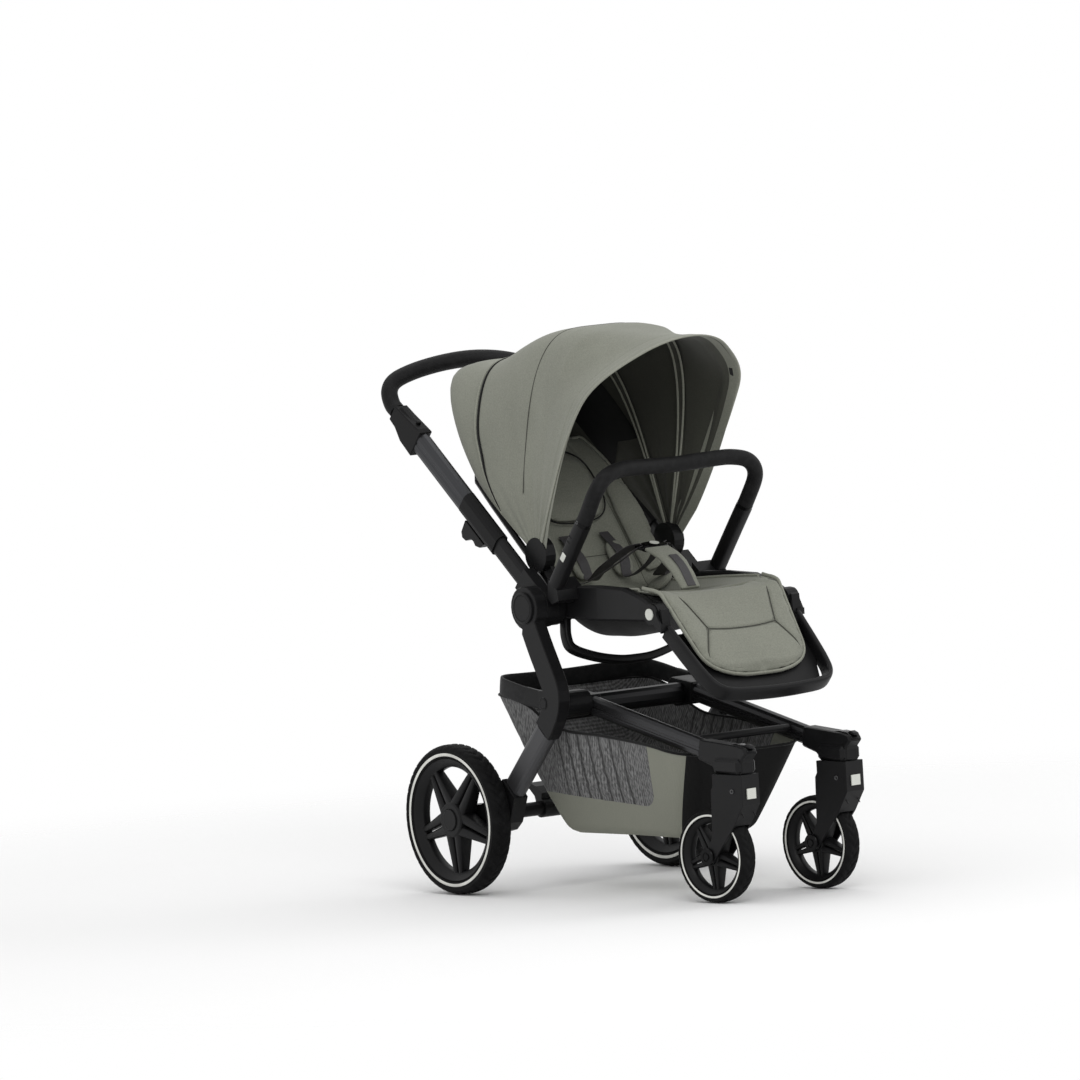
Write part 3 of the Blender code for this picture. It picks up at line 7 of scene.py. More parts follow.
from __future__ import annotations

import logging
import math
from collections.abc import Callable, Sequence
from dataclasses import dataclass, field
from enum import Enum

import bpy
import numpy as np
from mathutils import Matrix, Vector

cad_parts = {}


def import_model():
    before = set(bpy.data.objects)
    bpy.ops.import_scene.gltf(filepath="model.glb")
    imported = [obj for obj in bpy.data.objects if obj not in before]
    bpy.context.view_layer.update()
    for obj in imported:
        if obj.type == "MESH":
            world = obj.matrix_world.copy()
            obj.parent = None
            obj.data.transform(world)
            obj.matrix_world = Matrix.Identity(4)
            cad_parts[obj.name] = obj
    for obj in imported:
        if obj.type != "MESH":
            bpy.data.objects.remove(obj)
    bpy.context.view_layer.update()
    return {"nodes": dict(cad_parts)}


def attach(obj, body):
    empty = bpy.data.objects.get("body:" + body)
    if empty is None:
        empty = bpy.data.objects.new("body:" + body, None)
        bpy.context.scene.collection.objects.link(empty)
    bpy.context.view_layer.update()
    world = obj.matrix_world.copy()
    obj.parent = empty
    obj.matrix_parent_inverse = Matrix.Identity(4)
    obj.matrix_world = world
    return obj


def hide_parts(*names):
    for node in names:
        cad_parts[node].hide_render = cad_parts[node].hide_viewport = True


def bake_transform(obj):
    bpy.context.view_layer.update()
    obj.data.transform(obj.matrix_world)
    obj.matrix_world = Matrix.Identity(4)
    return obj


LOG = logging.getLogger("stroller")
AXLE_Y = 0.2386  # from the model's origin back to the rear axle
SHIFT = Vector((0, AXLE_Y, 0))
CARRY = Matrix.Translation(SHIFT)
TURN = 2 * math.pi
SIDES = {"right": -1, "left": 1}
FACES = {"near": -1, "far": 1}
REAR_RADIUS, REAR_WIDTH = 0.138, 0.043
HUB = (-0.200, 0.529)  # Y and Z of the round hubs that legs, push tubes and seat share
PUSH_ANGLE = math.radians(39.8)
TUBE_ANGLE = math.radians(11.9)
BAG_BOTTOM = 0.104
PLEATS = 4
PLEAT_START, PLEAT_RUN = -0.40, 0.24  # the pleated stretch of the basket's sides
PLEAT_LEAN = 0.45  # how many pleats a pleat leans over from the floor to the rim

Place = Callable[[float, float], Sequence[float]]
Outline = Callable[[float, float], tuple[float, float]]
Object = bpy.types.Object


class Join(Enum):
    """How a sheet of faces closes on itself."""

    OPEN = "open"
    TUBE = "tube"
    CAPPED = "capped"


class Number:
    """A shader socket that carries a number, with Python's operators."""

    def __init__(self, recipe: Recipe, socket: bpy.types.NodeSocket) -> None:
        """Remember the socket and the recipe that it belongs to."""
        self.recipe = recipe
        self.socket = socket

    def _math(self, operation: str, *values: Number | float) -> Number:
        """One Math node.

        Args:
            operation: Blender's name of the operation.
            values: What goes into its sockets, in order.

        Returns:
            The node's result.
        """
        node = self.recipe.node("ShaderNodeMath", {"operation": operation}, dict(enumerate(values)))
        return Number(self.recipe, node.outputs[0])

    def __add__(self, other: Number | float) -> Number:
        """Sum."""
        return self._math("ADD", self, other)

    __radd__ = __add__

    def __sub__(self, other: Number | float) -> Number:
        """Difference."""
        return self._math("SUBTRACT", self, other)

    def __rsub__(self, other: float) -> Number:
        """Difference from a plain number."""
        return self._math("SUBTRACT", other, self)

    def __mul__(self, other: Number | float) -> Number:
        """Product."""
        return self._math("MULTIPLY", self, other)

    __rmul__ = __mul__

    def __truediv__(self, other: float) -> Number:
        """Quotient."""
        return self._math("DIVIDE", self, other)

    def __abs__(self) -> Number:
        """Size without sign."""
        return self._math("ABSOLUTE", self)

    def sine(self) -> Number:
        """Sine of a number in radians."""
        return self._math("SINE", self)

    def largest(self, other: Number | float) -> Number:
        """The larger of two numbers."""
        return self._math("MAXIMUM", self, other)

    def above(self, limit: Number | float) -> Number:
        """1 where the number is above a limit, else 0."""
        return self._math("GREATER_THAN", self, limit)

    def ramp(self, low: float, high: float) -> Number:
        """A soft step.

        Args:
            low: Where the step starts, at 0.
            high: Where it ends, at 1.

        Returns:
            A number from 0 to 1.
        """
        node = self.recipe.node("ShaderNodeMapRange", {"interpolation_type": "SMOOTHSTEP"},
                                {"Value": self, "From Min": low, "From Max": high})
        return Number(self.recipe, node.outputs[0])


class Tree:
    """A node tree, of a material or of the world."""

    def __init__(self, tree: bpy.types.NodeTree) -> None:
        """Remember the tree."""
        self.tree = tree

    def node(self, kind: str, settings: dict | None = None, sockets: dict | None = None) -> bpy.types.Node:
        """Add one node.

        Args:
            kind: Its type.
            settings: Its properties, set first.
            sockets: Values or links of its inputs, by name or number.

        Returns:
            The node.
        """
        made = self.tree.nodes.new(kind)
        for key, value in (settings or {}).items():
            setattr(made, key, value)
        for key, value in (sockets or {}).items():
            self.feed(made.inputs[key], value)
        return made

    def feed(self, socket: bpy.types.NodeSocket, value: object) -> None:
        """Give a socket a link or a plain value."""
        if isinstance(value, Number):
            self.tree.links.new(value.socket, socket)
        elif isinstance(value, bpy.types.NodeSocket):
            self.tree.links.new(value, socket)
        else:
            socket.default_value = value


class Recipe(Tree):
    """One material while its nodes are put together."""

    def __init__(self, name: str) -> None:
        """Start from a plain shader."""
        self.material = bpy.data.materials.new(name)
        self.material.use_nodes = True
        super().__init__(self.material.node_tree)
        self.shader = self.tree.nodes["Principled BSDF"]
        self.object_place = self.node("ShaderNodeTexCoord").outputs["Object"]

    def axes(self) -> tuple[Number, Number, Number]:
        """The three object coordinates as numbers."""
        parts = self.node("ShaderNodeSeparateXYZ", sockets={0: self.object_place})
        return tuple(Number(self, out) for out in parts.outputs)

    def along(self, direction: Sequence[float]) -> Number:
        """How far a point lies along a direction."""
        dot = self.node("ShaderNodeVectorMath", {"operation": "DOT_PRODUCT"},
                        {0: self.object_place, 1: tuple(direction)})
        return Number(self, dot.outputs["Value"])

    def stretched(self, scale: Sequence[float]) -> bpy.types.NodeSocket:
        """Object coordinates with each axis scaled."""
        return self.node("ShaderNodeVectorMath", {"operation": "MULTIPLY"},
                         {0: self.object_place, 1: tuple(scale)}).outputs[0]

    def noise(self, scale: float, detail: float = 2.0, vector: bpy.types.NodeSocket | None = None) -> Number:
        """Soft noise from 0 to 1.

        Args:
            scale: Its cells per metre.
            detail: Octaves.
            vector: Coordinates, or the object's own.

        Returns:
            The noise.
        """
        node = self.node("ShaderNodeTexNoise", None,
                         {"Vector": vector or self.object_place, "Scale": scale, "Detail": detail})
        return Number(self, node.outputs["Fac"])

    def cells(self, scale: float) -> Number:
        """Distance to the nearest point of a cell pattern."""
        node = self.node("ShaderNodeTexVoronoi", None, {"Vector": self.object_place, "Scale": scale})
        return Number(self, node.outputs["Distance"])

    def mix(self, share: Number | float, low: object, high: object) -> bpy.types.NodeSocket:
        """A colour between two.

        Args:
            share: 0 for the first, 1 for the second.
            low: First colour or socket.
            high: Second colour or socket.

        Returns:
            The colour's socket.
        """
        low = (*low, 1.0) if isinstance(low, tuple) and len(low) == 3 else low
        high = (*high, 1.0) if isinstance(high, tuple) and len(high) == 3 else high
        made = self.node("ShaderNodeMix", {"data_type": "RGBA"}, {0: share, 6: low, 7: high})
        return made.outputs[2]

    def emboss(self, height: Number, depth: float, strength: float = 1.0) -> None:
        """Feed a bump to the shader's normal.

        Args:
            height: The relief, from 0 to 1.
            depth: Its depth in metres.
            strength: How much of it shows.
        """
        bump = self.node("ShaderNodeBump", None, {"Height": height, "Distance": depth, "Strength": strength})
        self.feed(self.shader.inputs["Normal"], bump.outputs[0])

    def surface(self, **values: object) -> None:
        """Set inputs of the main shader, with spaces written as underscores."""
        for key, value in values.items():
            self.feed(self.shader.inputs[key.replace("_", " ")], value)


def shade(color: Sequence[float], factor: float) -> tuple[float, float, float]:
    """A colour made darker or paler."""
    return tuple(min(part * factor, 1.0) for part in color)


@dataclass(frozen=True)
class Finish:
    """What every finish has: a name, the record's slot, a colour and a roughness."""

    SPECULAR = 0.5
    name: str
    slot: str
    color: tuple[float, float, float]
    roughness: float

    def paint(self) -> bpy.types.Material:
        """The finish as a material, made once."""
        found = bpy.data.materials.get(self.name)
        if found:
            return found
        recipe = Recipe(self.name)
        recipe.surface(Specular_IOR_Level=self.SPECULAR)
        self.mix_up(recipe)
        return recipe.material

    def mix_up(self, recipe: Recipe) -> None:
        """Fill the material's nodes."""
        raise NotImplementedError


@dataclass(frozen=True)
class WovenCloth(Finish):
    """Matte woven cloth with a fine heather."""

    SPECULAR = 0.18
    thread: float = 0.0013
    mottle: float = 0.16
    relief: float = 0.00035

    def weave(self, recipe: Recipe) -> Number:
        """Over and under of the threads, from 0 to 1, the same on every side of a piece."""
        turns = TURN / self.thread
        x, y, z = ((axis * turns).sine() for axis in recipe.axes())
        return (x * y + y * z + z * x) * 0.3 + 0.5

    def mix_up(self, recipe: Recipe) -> None:
        """Threads, single darker yarns and slow cloudy shifts of tone."""
        threads = self.weave(recipe)
        yarn = recipe.noise(420.0, 3.0)
        cloud = recipe.noise(11.0, 2.0)
        share = (threads * 0.06 + yarn * 0.70 + cloud * 0.24).ramp(0.26, 0.74)
        color = recipe.mix(share, shade(self.color, 1 - self.mottle), shade(self.color, 1 + self.mottle))
        recipe.surface(Base_Color=color, Roughness=yarn * 0.12 + (self.roughness - 0.06))
        recipe.surface(Sheen_Weight=0.12, Sheen_Roughness=0.5)
        recipe.emboss(threads * 0.08 + yarn * 0.92, self.relief, 0.5)


@dataclass(frozen=True)
class LeatherWrap(Finish):
    """Black leather-look wrap with a small pebble grain."""

    SPECULAR = 0.11

    def mix_up(self, recipe: Recipe) -> None:
        """Pebbles, fine creases and a slight polish on the high spots."""
        pebble = recipe.cells(620.0)
        crease = recipe.noise(90.0, 4.0)
        color = recipe.mix(crease.ramp(0.35, 0.75), shade(self.color, 0.8), shade(self.color, 1.35))
        recipe.surface(Base_Color=color, Roughness=crease * 0.16 + (self.roughness - 0.08))
        recipe.emboss(pebble * 0.8 + crease * 0.5, 0.0005, 0.5)


@dataclass(frozen=True)
class MouldedPlastic(Finish):
    """Moulded plastic with a fine spark-eroded texture."""

    grain: float = 1900.0
    relief: float = 0.00012
    gloss: float = 0.16

    def mix_up(self, recipe: Recipe) -> None:
        """A fine texture, faint flow clouds and rubbed patches."""
        texture = recipe.noise(self.grain, 2.0)
        cloud = recipe.noise(24.0, 3.0)
        color = recipe.mix(cloud.ramp(0.3, 0.75), shade(self.color, 0.88), shade(self.color, 1.18))
        recipe.surface(Base_Color=color, Specular_IOR_Level=self.gloss,
                       Roughness=cloud * 0.14 + texture * 0.06 + (self.roughness - 0.10))
        recipe.emboss(texture, self.relief, 0.4)


@dataclass(frozen=True)
class AnodisedTube(Finish):
    """Dark anodised aluminium with fine drawing lines along the tube."""

    direction: tuple[float, float, float] = (1.0, 0.0, 0.0)

    def lines(self, recipe: Recipe) -> Number:
        """Fine streaks that run along the tube."""
        run = Vector(self.direction).normalized()
        along = recipe.along(run)
        slow = recipe.node("ShaderNodeVectorMath", {"operation": "SCALE"}, {0: tuple(run)})
        recipe.feed(slow.inputs["Scale"], along * 0.985)
        across = recipe.node("ShaderNodeVectorMath", {"operation": "SUBTRACT"},
                             {0: recipe.object_place, 1: slow.outputs[0]})
        return recipe.noise(900.0, 2.0, across.outputs[0])

    def mix_up(self, recipe: Recipe) -> None:
        """Streaked metal under a satin layer."""
        streak = self.lines(recipe)
        cloud = recipe.noise(14.0, 2.0)
        color = recipe.mix(streak * 0.6 + cloud * 0.4, shade(self.color, 0.82), shade(self.color, 1.2))
        recipe.surface(Base_Color=color, Metallic=0.75, Roughness=streak * 0.10 + (self.roughness - 0.05))
        recipe.emboss(streak, 0.00006, 0.35)


@dataclass(frozen=True)
class TelescopicTube(AnodisedTube):
    """The handle's outer tube: metal between a black sleeve below and a black collar above."""

    SPECULAR = 0.12
    sleeve_end: float = 0.276
    collar_start: float = 0.442

    def mix_up(self, recipe: Recipe) -> None:
        """Choose plastic or metal by the place along the tube."""
        run = Vector(self.direction).normalized()
        start = run.dot(Vector((0, HUB[0] + AXLE_Y, HUB[1])))
        place = recipe.along(run) - start
        metal = place.above(self.sleeve_end) * (1 - place.above(self.collar_start))
        streak = self.lines(recipe)
        texture = recipe.noise(1900.0, 2.0)
        bright = recipe.mix(streak, shade(self.color, 0.82), shade(self.color, 1.2))
        dark = recipe.mix(texture, (0.0045, 0.0045, 0.0048), (0.0062, 0.0062, 0.0065))
        recipe.surface(Base_Color=recipe.mix(metal, dark, bright), Metallic=metal * 0.75,
                       Roughness=metal * -0.08 + (streak * 0.08 + 0.40))
        recipe.emboss(texture, 0.0001, 0.3)


@dataclass(frozen=True)
class TyreRubber(Finish):
    """Matte rubber, dusty in its low places."""

    SPECULAR = 0.05

    def mix_up(self, recipe: Recipe) -> None:
        """Dull rubber with a little dust."""
        dust = recipe.noise(46.0, 4.0)
        grain = recipe.noise(1300.0, 2.0)
        color = recipe.mix(dust.ramp(0.42, 0.85), self.color, shade(self.color, 1.9))
        recipe.surface(Base_Color=color, Roughness=dust * 0.2 + (self.roughness - 0.12))
        recipe.emboss(grain, 0.00012, 0.5)


@dataclass(frozen=True)
class RibbedWebbing(Finish):
    """Flat woven strap with ribs across it."""

    def mix_up(self, recipe: Recipe) -> None:
        """Close ribs and a soft shine."""
        x, y, z = recipe.axes()
        ribs = ((x * 0.8 + y + z) * (TURN / 0.0022)).sine() * 0.5 + 0.5
        yarn = recipe.noise(500.0, 2.0)
        color = recipe.mix(ribs * 0.6 + yarn * 0.4, shade(self.color, 0.7), shade(self.color, 1.35))
        recipe.surface(Base_Color=color, Roughness=yarn * 0.1 + (self.roughness - 0.05))
        recipe.emboss(ribs * 0.8 + yarn * 0.2, 0.0004, 0.6)


@dataclass(frozen=True)
class PaleReflector(Finish):
    """Pale reflector with small square prisms."""

    def mix_up(self, recipe: Recipe) -> None:
        """A grid of prisms under a clear face."""
        x, _, z = recipe.axes()
        turns = TURN / 0.0036
        prism = ((x * turns).sine() * (z * turns).sine()) * 0.5 + 0.5
        color = recipe.mix(prism, shade(self.color, 0.82), shade(self.color, 1.12))
        recipe.surface(Base_Color=color, Roughness=prism * 0.1 + (self.roughness - 0.05))
        recipe.emboss(prism, 0.0003, 0.5)


@dataclass(frozen=True)
class BasketCloth(Finish):
    """The basket's cloth: grey mesh sides, grey-green lower panels and a black front."""

    SPECULAR = 0.12
    sage: tuple[float, float, float] = (0.225, 0.230, 0.192)
    black: tuple[float, float, float] = (0.010, 0.010, 0.010)
    corner: float = 0.028  # radius of the mesh panel's lower rear corner

    def knit(self, recipe: Recipe, ribs: Number, yarn: Number) -> bpy.types.NodeSocket:
        """The mesh's colour: ribs broken up by pale and dark yarns."""
        share = (ribs * 0.22 + yarn * 1.0 - 0.10).ramp(0.28, 0.78)
        return recipe.mix(share, shade(self.color, 0.50), shade(self.color, 1.50))

    def mix_up(self, recipe: Recipe) -> None:
        """Split the cloth by its seams, drawn in the side view, and paint shade into the folds of its pleats.
        """
        _, y, z = recipe.axes()
        back = y - AXLE_Y
        ribs = ((y + z * 0.3) * (TURN / 0.0050) + recipe.noise(40.0) * 1.2).sine() * 0.5 + 0.5
        yarn = recipe.noise(260.0, 4.0, recipe.stretched((1.0, 1.0, 0.35)))
        fine = recipe.noise(520.0, 3.0)
        plain = recipe.mix(fine, shade(self.sage, 0.88), shade(self.sage, 1.12))
        dark = recipe.mix(fine, shade(self.black, 0.7), shade(self.black, 1.5))
        over = (self.corner - (z - back * 0.065 - 0.1895)).largest(0.0)
        behind = (self.corner - (back + z * 0.30 + 0.372)).largest(0.0)
        outside = (over * over + behind * behind).above(self.corner * self.corner)
        wave = ((back - PLEAT_START) * (TURN * PLEATS / PLEAT_RUN)
                + (z - BAG_BOTTOM) * (TURN * PLEAT_LEAN / 0.19)).sine()
        # painted shade: the folds of the pleats are darkened in the colour, standing in for the shade in their
        # creases
        crease = abs(wave).ramp(0.90, 1.0) * back.ramp(-0.41, -0.37) * (1 - back.ramp(-0.20, -0.16))
        mesh = recipe.mix(crease * 0.7, self.knit(recipe, ribs, yarn), shade(self.color, 0.18))
        front = 1 - (back + (z - BAG_BOTTOM) * 0.535).above(-0.4555)
        panels = recipe.mix(outside, mesh, plain)
        recipe.surface(Base_Color=recipe.mix(front, panels, dark), Roughness=fine * 0.1 + 0.85)
        recipe.emboss(ribs * 0.5 + yarn * 0.5, 0.0006, 0.6)


UP_THE_TUBE = (0.0, math.cos(PUSH_ANGLE), math.sin(PUSH_ANGLE))
DOWN_THE_FRONT = (0.0, -math.cos(TUBE_ANGLE), -math.sin(TUBE_ANGLE))
SAGE = WovenCloth("sage_cloth", "sage", (0.208, 0.214, 0.178), 0.92)
SAGE_TRIM = WovenCloth("sage_binding", "sage", (0.240, 0.246, 0.205), 0.9, thread=0.0010)
LINING = WovenCloth("canopy_lining", "sage", (0.050, 0.051, 0.041), 0.92)
# painted shade: a dark sage for thin lines laid in sewn channels and seams, standing in for the shade in them
SEAM_SHADE = WovenCloth("seam_shadow", "sage", (0.052, 0.053, 0.044), 0.95, relief=0.0001)
SLING = WovenCloth("sling_cloth", "sling", (0.0055, 0.0055, 0.0055), 0.95)
WINDOW = WovenCloth("window_net", "sling", (0.005, 0.005, 0.005), 0.9, thread=0.0024)
BASKET = BasketCloth("basket_cloth", "mesh", (0.150, 0.150, 0.150), 0.95)
LEATHER = LeatherWrap("leather_wrap", "leather", (0.0095, 0.0095, 0.0098), 0.56)
HOOP = LeatherWrap("hoop_wrap", "leather", (0.016, 0.016, 0.0165), 0.52)
PLASTIC = MouldedPlastic("moulded_black", "satin_black", (0.0062, 0.0062, 0.0066), 0.42)
DEEP_PLASTIC = MouldedPlastic("gloss_black", "satin_black", (0.0030, 0.0030, 0.0033), 0.24, gloss=0.12)
PALE = MouldedPlastic("pale_plastic", "pale", (0.62, 0.63, 0.58), 0.42, gloss=0.5)
REFLECTOR = PaleReflector("reflector", "pale", (0.60, 0.61, 0.56), 0.3)
STRIPE = MouldedPlastic("tyre_ring", "pale", (0.66, 0.66, 0.62), 0.6, gloss=0.3)
TYRE = TyreRubber("tyre_rubber", "tyre", (0.0062, 0.0062, 0.0064), 0.60)
WEBBING = RibbedWebbing("webbing", "sling", (0.040, 0.038, 0.040), 0.62)
STEEL = MouldedPlastic("screw_metal", "dark_metal", (0.05, 0.05, 0.052), 0.3, gloss=0.6)
FRONT_TUBE = AnodisedTube("front_tube_metal", "dark_metal", (0.036, 0.036, 0.038), 0.34, DOWN_THE_FRONT)
CROSS_TUBE = AnodisedTube("cross_tube_metal", "dark_metal", (0.016, 0.016, 0.017), 0.36)
LEG_TUBE = AnodisedTube("leg_tube_metal", "dark_metal", (0.062, 0.062, 0.065), 0.42, (0.0, 0.69, -0.72))
HANDLE = TelescopicTube("handle_tube_metal", "dark_metal", (0.050, 0.051, 0.054), 0.38, UP_THE_TUBE)


class Bench:
    """The modelling steps that every sub-assembly uses."""

    @staticmethod
    def pick(*objects: Object) -> None:
        """Select only these objects and make the first one active."""
        bpy.ops.object.select_all(action="DESELECT")
        for obj in objects:
            obj.select_set(True)
        bpy.context.view_layer.objects.active = objects[0]

    @staticmethod
    def tidy(obj: Object, caps: bool = False) -> None:
        """Weld doubles, close open ends if asked, and turn every face outwards."""
        Bench.pick(obj)
        bpy.ops.object.mode_set(mode="EDIT")
        bpy.ops.mesh.select_all(action="SELECT")
        bpy.ops.mesh.remove_doubles(threshold=0.00001)
        if caps:
            bpy.ops.mesh.fill_holes(sides=0)
            bpy.ops.mesh.select_all(action="SELECT")
        bpy.ops.mesh.normals_make_consistent(inside=False)
        bpy.ops.object.mode_set(mode="OBJECT")

    @staticmethod
    def sheet(name: str, columns: int, rows: int, place: Place, join: Join = Join.OPEN,
              size: tuple[float, float] = (1.0, 1.0)) -> Object:
        """A grid primitive whose points are moved to where a rule puts them.

        Args:
            name: The piece's name.
            columns: Faces across.
            rows: Faces along.
            place: Takes two shares from 0 to 1, across and along, and gives the point.
            join: Whether its sides meet and its ends close.
            size: What its UV map measures, in metres.

        Returns:
            The new object.
        """
        bpy.ops.object.select_all(action="DESELECT")
        bpy.ops.mesh.primitive_grid_add(x_subdivisions=columns, y_subdivisions=rows, size=2.0)
        obj = bpy.context.object
        obj.name = obj.data.name = name
        for vertex in obj.data.vertices:
            x, y, z = place((vertex.co.x + 1) / 2, (vertex.co.y + 1) / 2)
            vertex.co = (x, y + AXLE_Y, z)
        for loop in obj.data.uv_layers[0].data:
            loop.uv = (loop.uv[0] * size[0], loop.uv[1] * size[1])
        if join is not Join.OPEN:
            Bench.tidy(obj, join is Join.CAPPED)
        return obj

    @staticmethod
    def rail(name: str, route: Sequence[Vector], outline: Outline, sides: int,
             up: Sequence[float] = (0, 0, 1), closed: bool = False) -> Object:
        """A bar along a route.

        Args:
            name: The piece's name.
            route: Its centre points.
            outline: Takes the share along and the angle round, and gives width and height offsets.
            sides: Faces round it.
            up: The direction of its height at the start, carried along the route.
            closed: Whether the route is a ring.

        Returns:
            The new object.
        """
        count = len(route)
        frames = []
        height = Vector(up)
        for index, here in enumerate(route):
            if closed:
                before, after = route[index - 1], route[(index + 1) % count]
            else:
                before, after = route[max(index - 1, 0)], route[min(index + 1, count - 1)]
            run = (after - before).normalized()
            height = (height - run * height.dot(run)).normalized()
            frames.append((here, height.cross(run), height.copy()))
        if closed:
            frames.append(frames[0])

        def place(u: float, v: float) -> Sequence[float]:
            """A point of the bar's skin."""
            spot, across, tall = frames[round(v * (len(frames) - 1))]
            wide, high = outline(v, TURN * u)
            return spot + across * wide + tall * high

        join = Join.TUBE if closed else Join.CAPPED
        return Bench.sheet(name, sides, len(frames) - 1, place, join)

    @staticmethod
    def turned(name: str, profile: Sequence[tuple[float, float]], matrix: Matrix, steps: int = 72) -> Object:
        """A circle primitive drawn out to a profile and spun once about X.

        Args:
            name: The piece's name.
            profile: Closed row of (radius, place along the axis).
            matrix: Where the piece goes, from the rear axle.
            steps: Faces round it.

        Returns:
            The new object.
        """
        bpy.ops.object.select_all(action="DESELECT")
        bpy.ops.mesh.primitive_circle_add(vertices=len(profile), radius=1.0)
        obj = bpy.context.object
        obj.name = obj.data.name = name
        for vertex, (radius, along) in zip(obj.data.vertices, profile):
            vertex.co = (along, radius, 0.0)
        bpy.ops.object.mode_set(mode="EDIT")
        bpy.ops.mesh.select_all(action="SELECT")
        bpy.ops.mesh.spin(steps=steps, angle=TURN, center=(0, 0, 0), axis=(1, 0, 0))
        bpy.ops.object.mode_set(mode="OBJECT")
        Bench.tidy(obj)
        obj.data.transform(CARRY @ matrix)
        return obj

    @staticmethod
    def disc(name: str, profile: Sequence[tuple[float, float]], place: Matrix, sign: int, steps: int) -> Object:
        """A turned cover that looks to one side.

        Args:
            name: The piece's name.
            profile: Closed row of (radius, place along the axis).
            place: Where its axis starts, from the rear axle.
            sign: 1 to look along the place's X axis, -1 to look against it.
            steps: Faces round it.

        Returns:
            The new object.
        """
        obj = Bench.turned(name, profile, place @ Matrix.Scale(sign, 4, (1, 0, 0)), steps)
        if sign < 0:
            Bench.tidy(obj)
        return obj

    @staticmethod
    def slab(name: str, outline: Sequence[tuple[float, float]], thickness: float, matrix: Matrix,
             bevel: float) -> Object:
        """A flat piece: a filled circle primitive drawn out to an outline and extruded.

        Args:
            name: The piece's name.
            outline: Its closed outline.
            thickness: How thick it is, half to each side.
            matrix: Where its drawing plane lies, from the rear axle.
            bevel: Width of its rounded edges.

        Returns:
            The new object.
        """
        bpy.ops.object.select_all(action="DESELECT")
        bpy.ops.mesh.primitive_circle_add(vertices=len(outline), radius=1.0, fill_type="NGON")
        obj = bpy.context.object
        obj.name = obj.data.name = name
        for vertex, (u, v) in zip(obj.data.vertices, outline):
            vertex.co = (u, v, -thickness / 2)
        bpy.ops.object.mode_set(mode="EDIT")
        bpy.ops.mesh.select_all(action="SELECT")
        bpy.ops.mesh.extrude_region_move(TRANSFORM_OT_translate={"value": (0, 0, thickness)})
        bpy.ops.object.mode_set(mode="OBJECT")
        Bench.tidy(obj)
        Bench.apply(obj, "BEVEL", width=bevel, segments=3, limit_method="ANGLE")
        obj.data.transform(CARRY @ matrix)
        return obj

    @staticmethod
    def apply(obj: Object, kind: str, **settings: object) -> None:
        """Add a modifier with its settings and apply it."""
        Bench.pick(obj)
        step = obj.modifiers.new(kind.lower(), kind)
        for key, value in settings.items():
            setattr(step, key, value)
        bpy.ops.object.modifier_apply(modifier=step.name)

    @staticmethod
    def join(name: str, pieces: Sequence[Object]) -> Object:
        """Make one object of several."""
        Bench.pick(*pieces)
        bpy.ops.object.join()
        joined = bpy.context.object
        joined.name = joined.data.name = name
        return joined

    @staticmethod
    def dress(obj: Object, body: str, *finishes: Finish, smooth: float = 40.0) -> None:
        """Shade a piece, give it its finishes and hang it on its body.

        Args:
            obj: The piece.
            body: The body it moves with, or an empty name to leave that open.
            finishes: Its finishes, in the order of its material slots.
            smooth: The angle in degrees up to which edges are shaded round.
        """
        Bench.pick(obj)
        bpy.ops.object.shade_smooth_by_angle(angle=math.radians(smooth))
        kept = [polygon.material_index for polygon in obj.data.polygons]
        obj.data.materials.clear()
        for finish in finishes:
            obj.data.materials.append(finish.paint())
        for polygon, index in zip(obj.data.polygons, kept):
            polygon.material_index = min(index, len(finishes) - 1)
        if body:
            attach(obj, body)

    @staticmethod
    def points(obj: Object) -> np.ndarray:
        """The mesh's points as rows."""
        flat = np.zeros(len(obj.data.vertices) * 3)
        obj.data.vertices.foreach_get("co", flat)
        return flat.reshape(-1, 3)

    @staticmethod
    def sew(obj: Object, route: Sequence[Vector], depth: float, width: float) -> None:
        """Press a sewn channel into a padded piece along a route.

        Args:
            obj: The piece.
            route: Points of the seam, from the rear axle.
            depth: How deep the channel is.
            width: How far its sides reach.
        """
        spots = Bench.points(obj)
        normals = np.zeros(len(spots) * 3)
        obj.data.vertices.foreach_get("normal", normals)
        normals = normals.reshape(-1, 3)
        nearest = np.full(len(spots), 1.0)
        carried = [np.array(point) + (0, AXLE_Y, 0) for point in route]
        for start, end in zip(carried, carried[1:]):
            run = end - start
            share = np.clip(((spots - start) @ run) / max(run @ run, 1e-12), 0, 1)
            gap = np.linalg.norm(spots - (start + share[:, None] * run), axis=1)
            nearest = np.minimum(nearest, gap)
        press = depth * np.exp(-((nearest / (width / 2)) ** 2))
        obj.data.vertices.foreach_set("co", (spots - normals * press[:, None]).ravel())
        obj.data.update()

    @staticmethod
    def stitch(name: str, obj: Object, routes: Sequence[Sequence[Vector]], radius: float,
               sunk: float) -> Object:
        """Thin lines that lie on a piece's surface, in its sewn channels, drawn as painted seam shade.

        Args:
            name: The name of the new piece.
            obj: The piece that they lie on.
            routes: Points of each line, from the rear axle.
            radius: Half the line's thickness.
            sunk: How far below the unsewn surface it lies.

        Returns:
            The new piece.
        """
        lines = []
        for route in routes:
            laid = []
            for point in route:
                _, spot, normal, _ = obj.closest_point_on_mesh(point + SHIFT)
                laid.append(spot - normal * sunk - SHIFT)
            lines.append(Bench.rail("line", laid, ring_outline(radius), 8))
        return Bench.join(name, lines)

